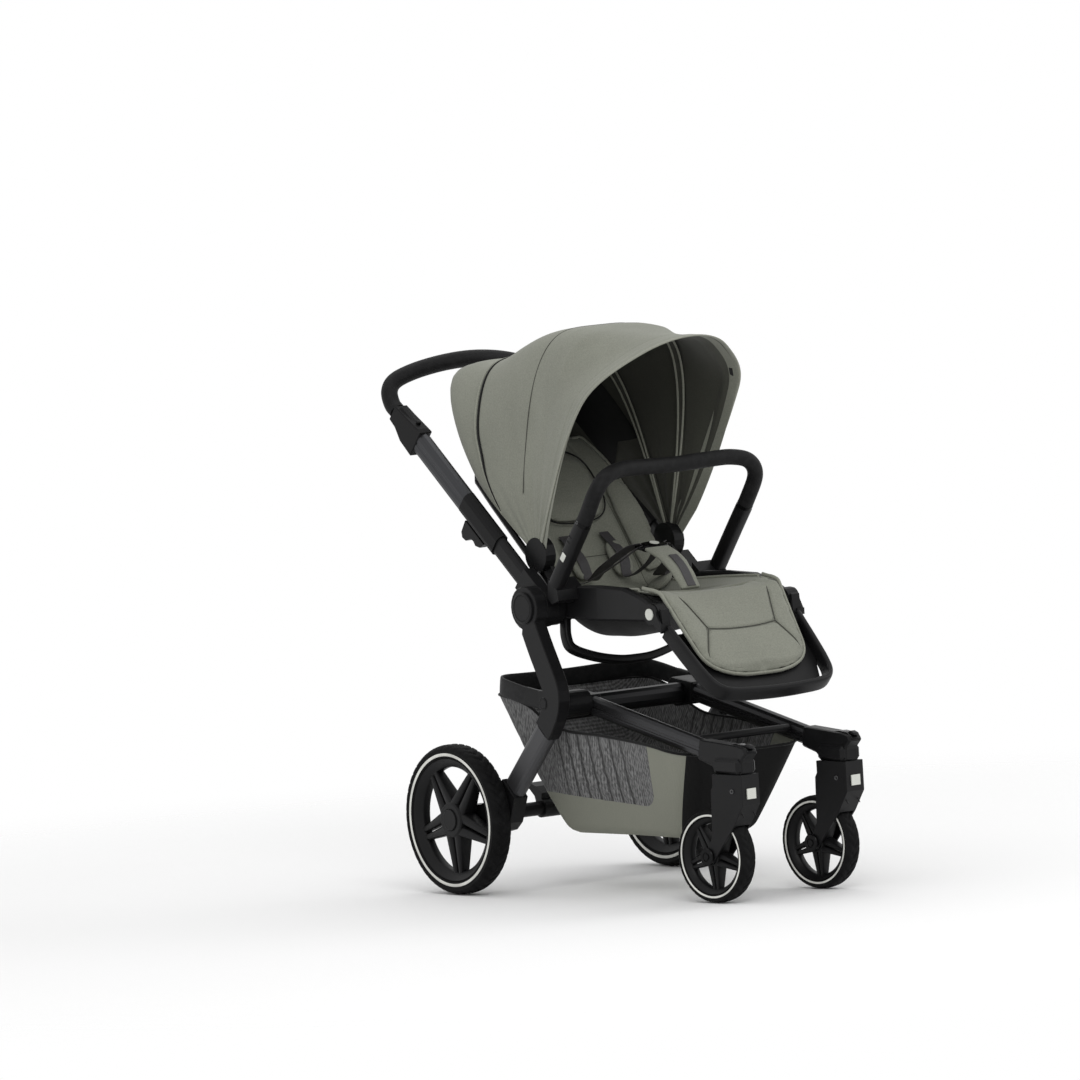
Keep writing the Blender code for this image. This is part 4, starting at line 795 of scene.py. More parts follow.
    @staticmethod
    def blow(obj: Object, cap: float, pressure: float = 3.0, steps: int = 20, stiffness: float = 15.0) -> None:
        """Run a short cloth simulation on a closed pad and keep its shape.

        Args:
            obj: The pad.
            cap: How far a point may move.
            pressure: Air pressure inside.
            steps: Frames of the simulation.
            stiffness: Resistance against stretching and pressing together.
        """
        before = Bench.points(obj)
        Bench.pick(obj)
        cloth = obj.modifiers.new("cloth", "CLOTH")
        for key, value in {"use_pressure": True, "uniform_pressure_force": pressure, "quality": 5, "mass": 0.3,
                           "tension_stiffness": stiffness, "compression_stiffness": stiffness,
                           "bending_stiffness": 2.0}.items():
            setattr(cloth.settings, key, value)
        cloth.settings.effector_weights.gravity = 0.0
        cloth.point_cache.frame_start = 1
        cloth.point_cache.frame_end = steps
        for step in range(1, steps + 1):
            bpy.context.scene.frame_set(step)
        bpy.ops.object.modifier_apply(modifier="cloth")
        bpy.context.scene.frame_set(1)
        moved = Bench.points(obj) - before
        length = np.maximum(np.linalg.norm(moved, axis=1), 1e-9)
        share = np.minimum(1.0, cap / length)
        obj.data.vertices.foreach_set("co", (before + moved * share[:, None]).ravel())
        obj.data.update()

    @staticmethod
    def puff(obj: Object, voxel: float, cap: float) -> None:
        """Give a pad an even mesh, blow it up and smooth it.

        Args:
            obj: The closed pad, a little smaller than it should end.
            voxel: Edge length of its even mesh.
            cap: How far a point may move.
        """
        Bench.apply(obj, "REMESH", mode="VOXEL", voxel_size=voxel)
        Bench.blow(obj, cap)
        Bench.apply(obj, "SMOOTH", factor=0.5, iterations=2)
        Bench.apply(obj, "SUBSURF", levels=1, render_levels=1)


def bent(value: float, power: float) -> float:
    """A sine or cosine raised to a power with its sign kept: a circle drawn with it gets squarer below 1."""
    return math.copysign(abs(value) ** power, value)


def clamp(value: float, high: float = 1.0) -> float:
    """A number kept between 0 and a limit."""
    return min(max(value, 0.0), high)


def lengthened(points: Sequence[Sequence[float]]) -> list[Vector]:
    """The points with one more at each end, straight on."""
    given = [Vector(point) for point in points]
    return [2 * given[0] - given[1], *given, 2 * given[-1] - given[-2]]


def spline(points: Sequence[Vector], t: float) -> Vector:
    """A place between the middle two of four points, on a smooth curve through all of them."""
    a, b, c, d = points
    return 0.5 * (2 * b + (c - a) * t + (2 * a - 5 * b + 4 * c - d) * t**2 + (3 * b - a - 3 * c + d) * t**3)


def flow(points: Sequence[Sequence[float]], count: int) -> list[Vector]:
    """A smooth row of points through given ones.

    Args:
        points: The given points.
        count: How many to return.

    Returns:
        Evenly numbered points on the curve.
    """
    padded = lengthened(points)
    found = []
    for index in range(count):
        along = (len(points) - 1) * index / (count - 1)
        span = min(int(along), len(points) - 2)
        found.append(spline(padded[span:span + 4], along - span))
    return found


def even(points: Sequence[Vector], count: int) -> list[Vector]:
    """The same curve with its points at even distances."""
    fine = flow(points, 40 * len(points))
    lengths = np.cumsum([0.0] + [(b - a).length for a, b in zip(fine, fine[1:])])
    picks = np.searchsorted(lengths, np.linspace(0, lengths[-1] - 1e-9, count))
    return [fine[min(int(pick), len(fine) - 1)] for pick in picks]


def table(rows: Sequence[tuple[float, float]], x: float) -> float:
    """Read a smooth curve through a table of pairs."""
    xs, ys = [row[0] for row in rows], [row[1] for row in rows]
    if x <= xs[0]:
        return ys[0]
    if x >= xs[-1]:
        return ys[-1]
    span = max(index for index in range(len(xs) - 1) if xs[index] <= x)
    width = xs[span + 1] - xs[span]
    t = (x - xs[span]) / width

    def slope(index: int) -> float:
        """The curve's slope at a row."""
        before, after = max(index - 1, 0), min(index + 1, len(xs) - 1)
        return (ys[after] - ys[before]) / (xs[after] - xs[before])

    start = (1 + 2 * t) * (1 - t) ** 2 * ys[span] + t * (1 - t) ** 2 * width * slope(span)
    return start + t**2 * (3 - 2 * t) * ys[span + 1] + t**2 * (t - 1) * width * slope(span + 1)


def ring_outline(radius: float, high: float | None = None) -> Outline:
    """The outline of a round or oval bar."""
    tall = radius if high is None else high
    return lambda _, turn: (radius * math.cos(turn), tall * math.sin(turn))


def square_outline(wide: float, high: float, wide_power: float, high_power: float,
                   drop: float = 0.0) -> Outline:
    """The outline of a rounded box.

    Args:
        wide: Half its width.
        high: Half its height.
        wide_power: How square its sides are, from 1 for round.
        high_power: How square its top and bottom are.
        drop: How far its middle is below the route.

    Returns:
        The outline.
    """
    return lambda _, turn: (bent(math.cos(turn), wide_power) * wide,
                            bent(math.sin(turn), high_power) * high - drop)


def strap_outline(width: float, thickness: float) -> Outline:
    """The outline of a flat strap with round edges."""
    return square_outline(width / 2, thickness / 2, 0.35, 0.7)


def oval(wide: float, high: float, count: int,
         middle: tuple[float, float] = (0.0, 0.0)) -> list[tuple[float, float]]:
    """Points of an oval with the given half axes."""
    return [(middle[0] + wide * math.cos(a), middle[1] + high * math.sin(a))
            for a in np.linspace(0, TURN, count, endpoint=False)]


def both_sides(profile: list[tuple[float, float]]) -> list[tuple[float, float]]:
    """A wheel's profile drawn on one side, with the other side added."""
    return profile + [(radius, -along) for radius, along in reversed(profile)]


def mirrored(half: Sequence[Sequence[float]], *middle: Sequence[float]) -> list[Sequence[float]]:
    """A route drawn on the left side only, with its mirror image before it and its middle between them."""
    return [*[(-x, y, z) for x, y, z in half], *middle, *reversed(half)]


def side_plane(x: float, y: float = 0.0, z: float = 0.0) -> Matrix:
    """A drawing plane square to X: its own X runs along Y, and its own Y along Z."""
    turned = Matrix(((0, 0, 1), (1, 0, 0), (0, 1, 0))).to_4x4()
    return Matrix.Translation((x, y, z)) @ turned


def screw(name: str, spot: Sequence[float], facing: Sequence[float], radius: float) -> Object:
    """A small socket-head screw: a cylinder with an inset, sunken six-sided socket.

    Args:
        name: The piece's name.
        spot: Middle of its head, from the rear axle.
        facing: Where the head looks.
        radius: The head's radius.

    Returns:
        The new object.
    """
    bpy.ops.object.select_all(action="DESELECT")
    bpy.ops.mesh.primitive_cylinder_add(vertices=24, radius=radius, depth=radius * 0.8)
    obj = bpy.context.object
    obj.name = obj.data.name = name
    bpy.ops.object.mode_set(mode="EDIT")
    bpy.ops.mesh.select_all(action="DESELECT")
    bpy.ops.object.mode_set(mode="OBJECT")
    for polygon in obj.data.polygons:
        polygon.select = polygon.normal.z > 0.9
    bpy.ops.object.mode_set(mode="EDIT")
    bpy.ops.mesh.inset(thickness=radius * 0.35)
    bpy.ops.mesh.inset(thickness=radius * 0.08, depth=-radius * 0.5)
    bpy.ops.object.mode_set(mode="OBJECT")
    Bench.apply(obj, "BEVEL", width=radius * 0.10, segments=2, limit_method="ANGLE")
    turn = Vector(facing).to_track_quat("Z", "Y").to_matrix().to_4x4()
    obj.data.transform(Matrix.Translation(Vector(spot) + SHIFT) @ turn)
    return obj


@dataclass
class Wheel:
    """A tyre with a tread and a pale ring, on a rim with five double spokes."""

    name: str
    radius: float
    width: float
    hub_radius: float
    cap_radius: float
    placed: Matrix
    blocks: int = 44
    spokes: int = 5

    def tyre(self) -> Object:
        """The tyre, its tread cut by slanting grooves that meet in the middle."""
        r, half = self.radius, self.width / 2
        profile = both_sides([
            (0.815 * r, half * 0.60), (0.826 * r, half * 0.80), (0.850 * r, half * 0.90),
            (0.905 * r, half * 0.97), (0.945 * r, half), (0.970 * r, half * 0.90), (0.985 * r, half * 0.74),
            (0.993 * r, half * 0.60), (0.997 * r, half * 0.46), (r, half * 0.32), (r, half * 0.18),
            (r, half * 0.06)])
        obj = Bench.turned(self.name + "_tyre", profile, Matrix.Identity(4), self.blocks * 6)
        for vertex in obj.data.vertices:
            place = vertex.co - SHIFT
            reach = math.hypot(place.y, place.z)
            share = abs(place.x) / half
            if reach > 0.96 * r and share < 0.92:
                turn = math.atan2(place.z, place.y) / TURN * self.blocks
                phase = (turn + share * 1.1) % 1.0
                depth = 0.0016 * self.width / REAR_WIDTH * (0.34 < phase < 0.62)
                sink = 1 - depth / reach
                vertex.co = Vector((place.x, place.y * sink + AXLE_Y, place.z * sink))
        return obj

    def stripe(self) -> Object:
        """The pale ring on both side walls."""
        middle, half = 0.873 * self.radius, self.width / 2 * 0.945
        wide, high = 0.0024 * self.radius / REAR_RADIUS + 0.0004, 0.0007
        rings = [Bench.turned("ring", oval(wide, high, 10, (middle, sign * half)), Matrix.Identity(4), 128)
                 for sign in (-1, 1)]
        return Bench.join(self.name + "_ring", rings)

    def rim(self) -> Object:
        """Barrel, lip, tapered double spokes and a stepped hub."""
        r, half = self.radius, self.width / 2 - 0.0015
        barrel = both_sides([(0.813 * r, half * 0.62), (0.822 * r, half * 0.86), (0.812 * r, half * 0.92),
                             (0.760 * r, half * 0.70), (0.712 * r, half * 0.44), (0.700 * r, half * 0.30)])
        hub, cap = self.hub_radius, self.cap_radius
        boss = both_sides([(0.0, half * 0.96), (cap, half * 0.96), (cap + 0.0006, half * 0.88),
                           (cap + 0.0014, half * 0.96), (hub * 0.72, half * 0.95), (hub * 0.80, half * 0.84),
                           (hub * 0.82, half * 0.55)])
        parts = [Bench.turned("barrel", barrel, Matrix.Identity(4), 128),
                 Bench.turned("boss", boss, Matrix.Identity(4), 64)]
        for index in range(self.spokes):
            turn = math.radians(-90 + 360 / self.spokes * index)
            parts += [self.spoke(turn, side, half) for side in (-1, 1)]
        return Bench.join(self.name + "_rim", parts)

    def spoke(self, turn: float, side: int, half: float) -> Object:
        """One bar of a double spoke, wide at the hub and slim at the lip."""
        scale = self.radius / REAR_RADIUS
        start, end = self.hub_radius * 0.50, 0.745 * self.radius
        out = Vector((0, math.cos(turn), math.sin(turn)))
        aside = Vector((0, -math.sin(turn), math.cos(turn)))
        route = [out * (start + (end - start) * share) + aside * side * ((0.0128 - 0.0058 * share) * scale)
                 for share in np.linspace(0, 1, 9)]

        def outline(share: float, angle: float) -> tuple[float, float]:
            """A rounded box that gets slimmer towards the lip."""
            return (bent(math.cos(angle), 0.5) * ((0.0108 - 0.0056 * share) * scale),
                    bent(math.sin(angle), 0.5) * (half * (0.88 - 0.42 * share)))

        return Bench.rail("spoke", route, outline, 20, (1, 0, 0))

    def make(self) -> None:
        """Build the wheel in place of the plain one."""
        for obj, finish, kind in ((self.tyre(), TYRE, "tyre"), (self.stripe(), STRIPE, ""),
                                  (self.rim(), PLASTIC, "rim")):
            obj.data.transform(CARRY @ self.placed @ CARRY.inverted())
            Bench.dress(obj, self.name, finish, smooth=32)
            if kind:
                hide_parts(self.name.replace("wheel", kind))
        LOG.info("%s", self.name)


@dataclass
class RollingGear:
    """All four wheels and the fine parts on the forks."""

    rear_track: float = 0.488
    front_radius: float = 0.085
    front_width: float = 0.035
    caster_track: float = 0.240
    caster_y: float = -0.667
    trail: float = 0.053
    caster_turn: float = math.radians(7)
    axle_disc: tuple[tuple[float, float], ...] = (
        (0.0, 0.0), (0.0160, 0.0), (0.0160, 0.0040), (0.0148, 0.0054), (0.0086, 0.0054), (0.0078, 0.0042),
        (0.0066, 0.0042), (0.0058, 0.0062), (0.0, 0.0062))

    def caster_matrix(self, sign: int) -> Matrix:
        """From a caster's own drawing, swivel axis at zero, to its place."""
        spot = Matrix.Translation((sign * self.caster_track / 2, self.caster_y, 0))
        return spot @ Matrix.Rotation(self.caster_turn, 4, "Z")

    def make_wheels(self) -> None:
        """The four wheels."""
        for side, sign in SIDES.items():
            place = Matrix.Translation((sign * self.rear_track / 2, 0, REAR_RADIUS))
            Wheel("rear_wheel_" + side, REAR_RADIUS, REAR_WIDTH, 0.0400, 0.0195, place).make()
            place = self.caster_matrix(sign) @ Matrix.Translation((0, self.trail, self.front_radius))
            Wheel("front_wheel_" + side, self.front_radius, self.front_width, 0.0220, 0.010, place,
                  blocks=30).make()

    def make_fork_details(self) -> None:
        """Screws, axle discs and the dark slot marks of each fork, painted shade."""
        for side, sign in SIDES.items():
            placed = self.caster_matrix(sign)
            turn = placed.to_3x3()
            for end, face in FACES.items():
                spot = placed @ Vector((face * 0.0228, -0.018, 0.205))
                head = screw(f"fork_screw_{side}_{end}", spot, turn @ Vector((face, 0, 0)), 0.0042)
                Bench.dress(head, "caster_" + side, STEEL)
            for end, face in FACES.items():
                spot = placed @ Matrix.Translation((face * 0.0222, self.trail, self.front_radius))
                Bench.dress(Bench.disc(f"axle_disc_{side}_{end}", self.axle_disc, spot, face, 48),
                            "caster_" + side, DEEP_PLASTIC)
            lean = turn.to_4x4() @ Matrix.Rotation(math.radians(56), 4, "X")
            # painted shade: each slot is a thin dark slab on the fork that stands in for the shade inside the
            # slot
            slot_shades = []
            for face in FACES.values():
                middle = placed @ Vector((face * 0.0150, -0.0325, 0.1640))
                slot_shades.append(Bench.slab("slot", oval(0.0013, 0.0085, 16), 0.0014,
                                        Matrix.Translation(middle) @ lean, 0.0002))
            Bench.dress(Bench.join("fork_slots_" + side, slot_shades), "caster_" + side, DEEP_PLASTIC)

    def make(self) -> None:
        """Wheels first, then the details."""
        self.make_wheels()
        self.make_fork_details()


@dataclass
class Canopy:
    """The hood: rear skirt, middle and front cloth, zip, piping, binding and inside tapes."""

    pivot: tuple[float, float] = (-0.170, 0.620)
    half_width: float = 0.1600
    bulge: float = 0.036
    foot: float = 0.032
    thickness: float = 0.0016
    back: float = 36.6
    rear: float = 66.0
    middle: float = 98.0
    front: float = 128.0
    hem: float = 122.4
    tops: tuple[tuple[float, float], ...] = (
        (36.6, 0.316), (41.0, 0.395), (46.0, 0.452), (51.0, 0.441), (58.0, 0.408), (66.0, 0.391),
        (75.0, 0.394), (86.0, 0.405), (98.0, 0.414), (110.0, 0.427), (119.0, 0.452), (128.0, 0.498))

    def spot(self, u: float, angle: float, inset: float = 0.0) -> Vector:
        """A place on the hood.

        Args:
            u: Share of the way from the left foot over the top to the right foot.
            angle: Degrees of the rib's plane about the pivot, from straight back.
            inset: How far inside the cloth's outer face.

        Returns:
            The point.
        """
        top = table(self.tops, angle) - inset
        bulge = self.bulge * max((angle - 92.0) / 36.0, 0.0) ** 1.4
        visor = clamp((angle - 104.0) / 24.0, 1.2)
        rounding = clamp((angle - 104.4) / 15.0)
        swing = math.pi * u
        height = max(math.sin(swing), 0.0) ** 0.62
        width = self.half_width + bulge * math.sin(math.pi * min(height, 1) ** 0.9 * 0.62) - inset
        shoulder = clamp((height - 0.66) / 0.26)
        power = 0.46 + 0.52 * rounding * shoulder * shoulder * (3 - 2 * shoulder)
        aside = bent(math.cos(swing), power) if abs(u - 0.5) > 1e-6 else 0.0
        reach = self.foot + (top - self.foot) * height
        turn = math.radians(angle - 3.4 * visor * math.sin(math.pi * height ** 1.2))
        return Vector((width * aside, self.pivot[0] + reach * math.cos(turn),
                       self.pivot[1] + reach * math.sin(turn)))

    def wrinkle(self, u: float, angle: float) -> float:
        """Small slack folds that fan out from the feet, and a slight unevenness everywhere."""
        near_foot = max(0.0, 1 - math.sin(math.pi * u) * 1.5)
        turn = math.radians(angle)
        return (0.0010 * near_foot * math.sin(turn * 26 + u * 5)
                + 0.0004 * math.sin(u * 37 + turn * 9) * math.sin(turn * 17))

    def panel(self, name: str, start: float, end: float, rows: int) -> Object:
        """One cloth panel between two planes, lined on the inside, with a sunken hem seam in front."""

        def place(u: float, v: float) -> Vector:
            """A point of the cloth."""
            angle = start + (end - start) * v
            edge = math.sin(math.pi * v)
            seam = 0.0034 * math.exp(-((angle - self.hem) / 1.3) ** 2)
            return self.spot(u, angle, 0.0003 + seam + edge * (0.0012 + self.wrinkle(u, angle)))

        obj = Bench.sheet(name, 112, rows, place, size=(0.9, 0.2))
        for finish in (SAGE, LINING):
            obj.data.materials.append(finish.paint())
        Bench.apply(obj, "SOLIDIFY", thickness=self.thickness, offset=-1.0, material_offset=1,
                    use_even_offset=True)
        return obj

    def band(self, name: str, angle: Callable[[float], float], width: float, thickness: float,
             inset: float = 0.0, reach: tuple[float, float] = (0.0, 1.0)) -> Object:
        """A flat or round strip that runs over the hood.

        Args:
            name: The piece's name.
            angle: Its plane's angle at a share of the way over the hood.
            width: How wide it is.
            thickness: How thick it is.
            inset: How far its middle is inside the cloth's outer face.
            reach: The shares where it starts and ends.

        Returns:
            The new object.
        """

        def place(u: float, v: float) -> Vector:
            """A point of the strip's skin."""
            share = reach[0] + (reach[1] - reach[0]) * (1 - u)
            turn = TURN * v
            middle = angle(share)
            here = self.spot(share, middle)
            far = math.hypot(here.y - self.pivot[0], here.z - self.pivot[1])
            aside = bent(math.cos(turn), 0.6) * width / 2
            high = bent(math.sin(turn), 0.6) * thickness / 2
            return self.spot(share, middle + math.degrees(aside / far), inset - high)

        return Bench.sheet(name, 120, 12, place, Join.CAPPED)

    def plane_point(self, angle: float) -> Vector:
        """A point on a rib's plane, in the model's own place."""
        turn = math.radians(angle)
        return Vector((0, self.pivot[0] + AXLE_Y + 0.35 * math.cos(turn),
                       self.pivot[1] + 0.35 * math.sin(turn)))

    def hang_skirt(self, obj: Object) -> None:
        """Bake a piece of the skirt into its place; the rib planes are worked out but not used, so it follows
        neither the seat nor the middle bow.
        """
        self.plane_point(self.back)
        self.plane_point(self.rear)
        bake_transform(obj)

    def hang_crown(self, obj: Object) -> None:
        """Bake a piece of the middle cloth into its place; it does not follow the two bows, of which the middle
        one turns 0.78 as far.
        """
        end = self.plane_point(self.middle)
        end - (end - self.plane_point(self.rear)) * 3.23
        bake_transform(obj)

    def by_reach(self, rows: Sequence[tuple[float, float]]) -> Callable[[float], float]:
        """A line on the cloth: its angle by its reach from the pivot."""
        return lambda share: table(rows, self.foot + 0.36 * max(math.sin(math.pi * share), 0.0) ** 0.62)

    def make(self) -> None:
        """Build the hood; the front cloth, edge, tabs and front tape hang on the front bow, and the middle tape
        and its piping on the middle bow.
        """
        skirt = self.panel("canopy_rear_cloth", self.back, self.rear + 0.4, 26)
        crown = self.panel("canopy_middle_cloth", self.rear, self.middle + 0.3, 22)
        visor = self.panel("canopy_front_cloth", self.middle, self.front - 1.0, 40)
        for obj in (skirt, crown, visor):
            Bench.dress(obj, "", SAGE, LINING, smooth=60)
        self.hang_skirt(skirt)
        self.hang_crown(crown)
        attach(visor, "canopy_front_bow")
        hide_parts("canopy_rear")
        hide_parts("canopy_middle")
        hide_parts("canopy_front")
        self.make_seams()
        self.make_edge()
        self.make_tapes()
        self.make_window()
        self.make_tabs()
        LOG.info("canopy")

    def make_seams(self) -> None:
        """The zip with its welt over the skirt, and a dark line of painted seam shade over the middle cloth."""
        closure = self.by_reach(((0.14, 39.0), (0.193, 48.4), (0.252, 53.5), (0.297, 57.3), (0.34, 60.5),
                                 (0.392, 63.5)))
        zipped = (0.045, 0.955)
        zipper = self.band("canopy_zip", closure, 0.0046, 0.0022, reach=zipped)
        welt = self.band("canopy_zip_welt", lambda share: closure(share) - 1.2, 0.0034, 0.0034, reach=zipped)
        for obj, finish in ((zipper, SLING), (welt, SAGE_TRIM)):
            Bench.dress(obj, "", finish)
            self.hang_skirt(obj)
        line = self.by_reach(((0.10, 72.0), (0.122, 77.5), (0.18, 84.5), (0.24, 88.0), (0.392, 93.0)))
        # painted shade: the panel seam is a dark line that stands in for the shade in the seam
        seam = self.band("canopy_panel_seam", line, 0.0018, 0.0010, 0.0008, (0.03, 0.97))
        Bench.dress(seam, "", SEAM_SHADE)
        self.hang_crown(seam)

    def make_edge(self) -> None:
        """Binding, painted shade in the hem seam, and hem lining along the front edge."""
        for name, angle, width, thick, inset, finish in (
                ("canopy_front_binding", self.front - 0.9, 0.0086, 0.0036, 0.0010, SAGE_TRIM),
                # painted shade: a dark line in the sunken hem seam stands in for its shade
                ("canopy_front_stitching", self.hem, 0.0030, 0.0014, 0.0034, SEAM_SHADE),
                ("canopy_hem_lining", self.front - 4.2, 0.0400, 0.0010, 0.0026, SAGE)):
            piece = self.band(name, lambda share, angle=angle: angle, width, thick, inset)
            Bench.dress(piece, "canopy_front_bow", finish, smooth=60)

    def make_tapes(self) -> None:
        """The lining's tape under each bow, piped along both edges."""
        for name, angle, inset, body in (("middle", self.rear + 5.0, 0.0100, "canopy_middle_bow"),
                                         ("front", self.middle + 5.0, 0.0082, "canopy_front_bow")):
            tape = self.band("canopy_tape_" + name, lambda share, angle=angle: angle, 0.0190, 0.0012, inset)
            Bench.dress(tape, body, LINING, smooth=60)
            for edge, aside in (("back", -1.5), ("front", 1.5)):
                line = self.band(f"canopy_piping_{name}_{edge}", lambda share, at=angle + aside: at, 0.0036,
                                 0.0036, inset + 0.0010)
                Bench.dress(line, body, SAGE_TRIM)

    def make_window(self) -> None:
        """The dark net window in the rear panel, seen from inside."""
        net = self.band("canopy_window", lambda share: 51.5, 0.1250, 0.0008, self.thickness + 0.0026,
                        (0.10, 0.90))
        Bench.dress(net, "", WINDOW, smooth=60)
        self.hang_skirt(net)

    def make_tabs(self) -> None:
        """The small black tabs inside the front edge."""
        for name, share in (("top", 0.52), ("left", 0.21)):
            here = self.spot(share, self.front - 3.0, 0.0030)
            there = self.spot(share + 0.022, self.front - 3.0, 0.0030)
            run = (there - here).normalized()
            strap = Bench.rail("canopy_tab_" + name, [here, here.lerp(there, 0.5), there],
                               strap_outline(0.0080, 0.0018), 16, Vector((0, -1, 0)).cross(run))
            Bench.dress(strap, "canopy_front_bow", SLING)


@dataclass
class SeatCover:
    """The liner, headrest, shoulder and hip pads, sling, piping and harness."""

    profile: tuple[tuple[float, float], ...] = (
        (0.0600, 0.8020), (0.0000, 0.7320), (-0.0700, 0.6450), (-0.1250, 0.5720), (-0.1600, 0.5270),
        (-0.2050, 0.5040), (-0.2700, 0.5030), (-0.3500, 0.5120), (-0.4300, 0.5290), (-0.4800, 0.5400))
    half_width: tuple[float, ...] = (0.1180, 0.1340, 0.1360, 0.1320, 0.1270, 0.1262, 0.1298, 0.1388,
                                     0.1416, 0.1424)
    rise: tuple[float, ...] = (0.010, 0.030, 0.036, 0.034, 0.036, 0.040, 0.044, 0.040, 0.026, 0.014)
    depth: tuple[float, ...] = (0.006, 0.008, 0.010, 0.014, 0.024, 0.040, 0.042, 0.038, 0.026, 0.012)
    pad: float = 0.020

    def station(self, t: float) -> tuple[Vector, Vector, float, float, float]:
        """The seat's surface at a share of the way from the head to the lip.

        Args:
            t: The share, from 0 to 1.

        Returns:
            The point, the direction out of the seat, half width, rise of the sides, depth of the sling.
        """
        padded = lengthened([(y, z, 0) for y, z in self.profile])
        count = len(self.profile) - 1

        def at(share: float) -> Vector:
            """The profile's point."""
            share = clamp(share)
            index = min(int(share * count), count - 1)
            return spline(padded[index:index + 4], share * count - index)

        here = at(t)
        along = (at(t + 0.02) - at(t - 0.02)).normalized()
        out = Vector((along.y, -along.x))
        if out.y < 0 and out.x > 0:
            out = -out
        spots = [index / count for index in range(count + 1)]
        values = [table(list(zip(spots, row)), t) for row in (self.half_width, self.rise, self.depth)]
        return Vector((here.x, here.y)), out, values[0], values[1], values[2]

    def on_seat(self, share: float, t: float, above: float) -> Vector:
        """A place above the seat's surface, share running from -1 to 1 across."""
        here, out, half, rise, _ = self.station(t)
        spot = here + out * (rise * abs(share) ** 3 + above)
        return Vector((half * share, spot.x, spot.y))

    def skin(self, u: float, v: float, top: Callable[[float, float], float],
             bottom: Callable[[float, float], float], inset: float) -> Vector:
        """A point of a closed pad that follows the seat: upper face first, then the lower one."""
        here, out, half, rise, _ = self.station(v)
        share, side = -math.cos(TURN * u), math.sin(TURN * u)
        high, low = top(share, v), -bottom(share, v)
        swell = bent(side, 0.4) if abs(side) > 1e-9 else 0.0
        offset = (high + low) / 2 + (high - low) / 2 * swell
        spot = here + out * (rise * abs(share) ** 3 + offset)
        return Vector(((half - inset) * share, spot.x, spot.y))

    def make_liner(self) -> None:
        """The padded liner with its quilted channels and the painted shade lines in them."""

        def top(share: float, v: float) -> float:
            """Height of the padding, softer at the edges."""
            crown = (self.pad - 0.0012) * (1 - 0.55 * abs(share) ** 6)
            ease = min(v / 0.03, 1.0)
            lip = clamp((v - 0.80) / 0.18)
            dip = 0.66 * lip * lip * (3 - 2 * lip) * (1 - abs(share) ** 3)
            return crown * (0.55 + 0.45 * math.sin(math.pi / 2 * ease)) * (1 - dip)

        liner = Bench.sheet("seat_liner_pad", 112, 120,
                            lambda u, v: self.skin(u, v, top, lambda s, _: -0.0014, 0.0034), Join.CAPPED)
        Bench.apply(liner, "SUBSURF", levels=1, render_levels=1)
        # painted shade: dark lines laid in the quilted channels stand in for the shade in them
        Bench.dress(Bench.stitch("seat_seams", liner, self.seams(), 0.0008, 0.0026), "seat", SEAM_SHADE)
        for route in self.seams():
            Bench.sew(liner, route, 0.0032, 0.0075)
        Bench.dress(liner, "seat", SAGE, smooth=60)
        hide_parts("seat_liner")

    def seams(self) -> list[list[Vector]]:
        """Routes of the sewn channels on the liner."""
        above = self.pad
        across = [[self.on_seat(share, t, above) for share in np.linspace(-0.92, 0.92, 40)]
                  for t in (0.30, 0.47)]
        along = [[self.on_seat(sign * 0.66, t, above) for t in np.linspace(0.03, 0.97, 60)] for sign in (-1, 1)]
        return [*across, *along]

    def make_sling(self) -> None:
        """The black sling under the seat, with a soft belly."""

        def top(share: float, _: float) -> float:
            """Just under the liner."""
            return -0.0008

        def bottom(share: float, v: float) -> float:
            """Depth of the sling, full in the middle and drawn in at the sides."""
            depth = self.station(v)[4]
            fold = 0.0010 * math.sin(v * 60 + share * 4) * (1 - abs(share))
            return depth * (1 - 0.45 * abs(share) ** 4) - 0.0006 + fold

        sling = Bench.sheet("seat_sling", 80, 90, lambda u, v: self.skin(u, v, top, bottom, 0.0036),
                            Join.CAPPED)
        Bench.dress(sling, "seat", SLING, smooth=60)
        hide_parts("seat_shell")

    def make_binding(self) -> None:
        """The bound edge round the liner."""
        shares = np.linspace(0.02, 0.93, 70)
        across = [self.on_seat(share, 0.012, self.pad * 0.52) for share in np.linspace(-0.95, 0.95, 20)]
        edge = [self.on_seat(-0.968, t, self.pad * 0.52) for t in shares[::-1]]
        edge += across + [self.on_seat(0.968, t, self.pad * 0.52) for t in shares]
        piping = Bench.rail("seat_binding", edge, ring_outline(0.0028), 10)
        Bench.dress(piping, "seat", SAGE_TRIM)

    def cushion(self, name: str, centre: tuple[float, float], size: tuple[float, float], thick: float,
                shape: float, lift: float = 0.0) -> None:
        """A small pad that lies on the liner.

        Args:
            name: The piece's name.
            centre: Its share across and share along the seat.
            size: Half its size in those shares.
            thick: Its thickness.
            shape: How square it is, from 2 for round.
            lift: How far above the liner it starts.
        """

        def place(u: float, v: float) -> Vector:
            """A point of the pad's skin, like a flattened ball."""
            turn, climb = TURN * u, math.pi * (v - 0.5)
            flat = math.cos(climb)
            aside = bent(math.cos(turn), 2 / shape) * flat ** 0.55
            along = bent(math.sin(turn), 2 / shape) * flat ** 0.55
            high = math.sin(climb) * 0.5 + 0.5
            return self.on_seat(centre[0] + size[0] * aside, centre[1] + size[1] * along,
                                self.pad * 0.95 + lift + thick * high)

        pad = Bench.sheet(name, 56, 24, place, Join.CAPPED)
        Bench.puff(pad, 0.0042, 0.004)
        Bench.dress(pad, "seat", SAGE, smooth=70)

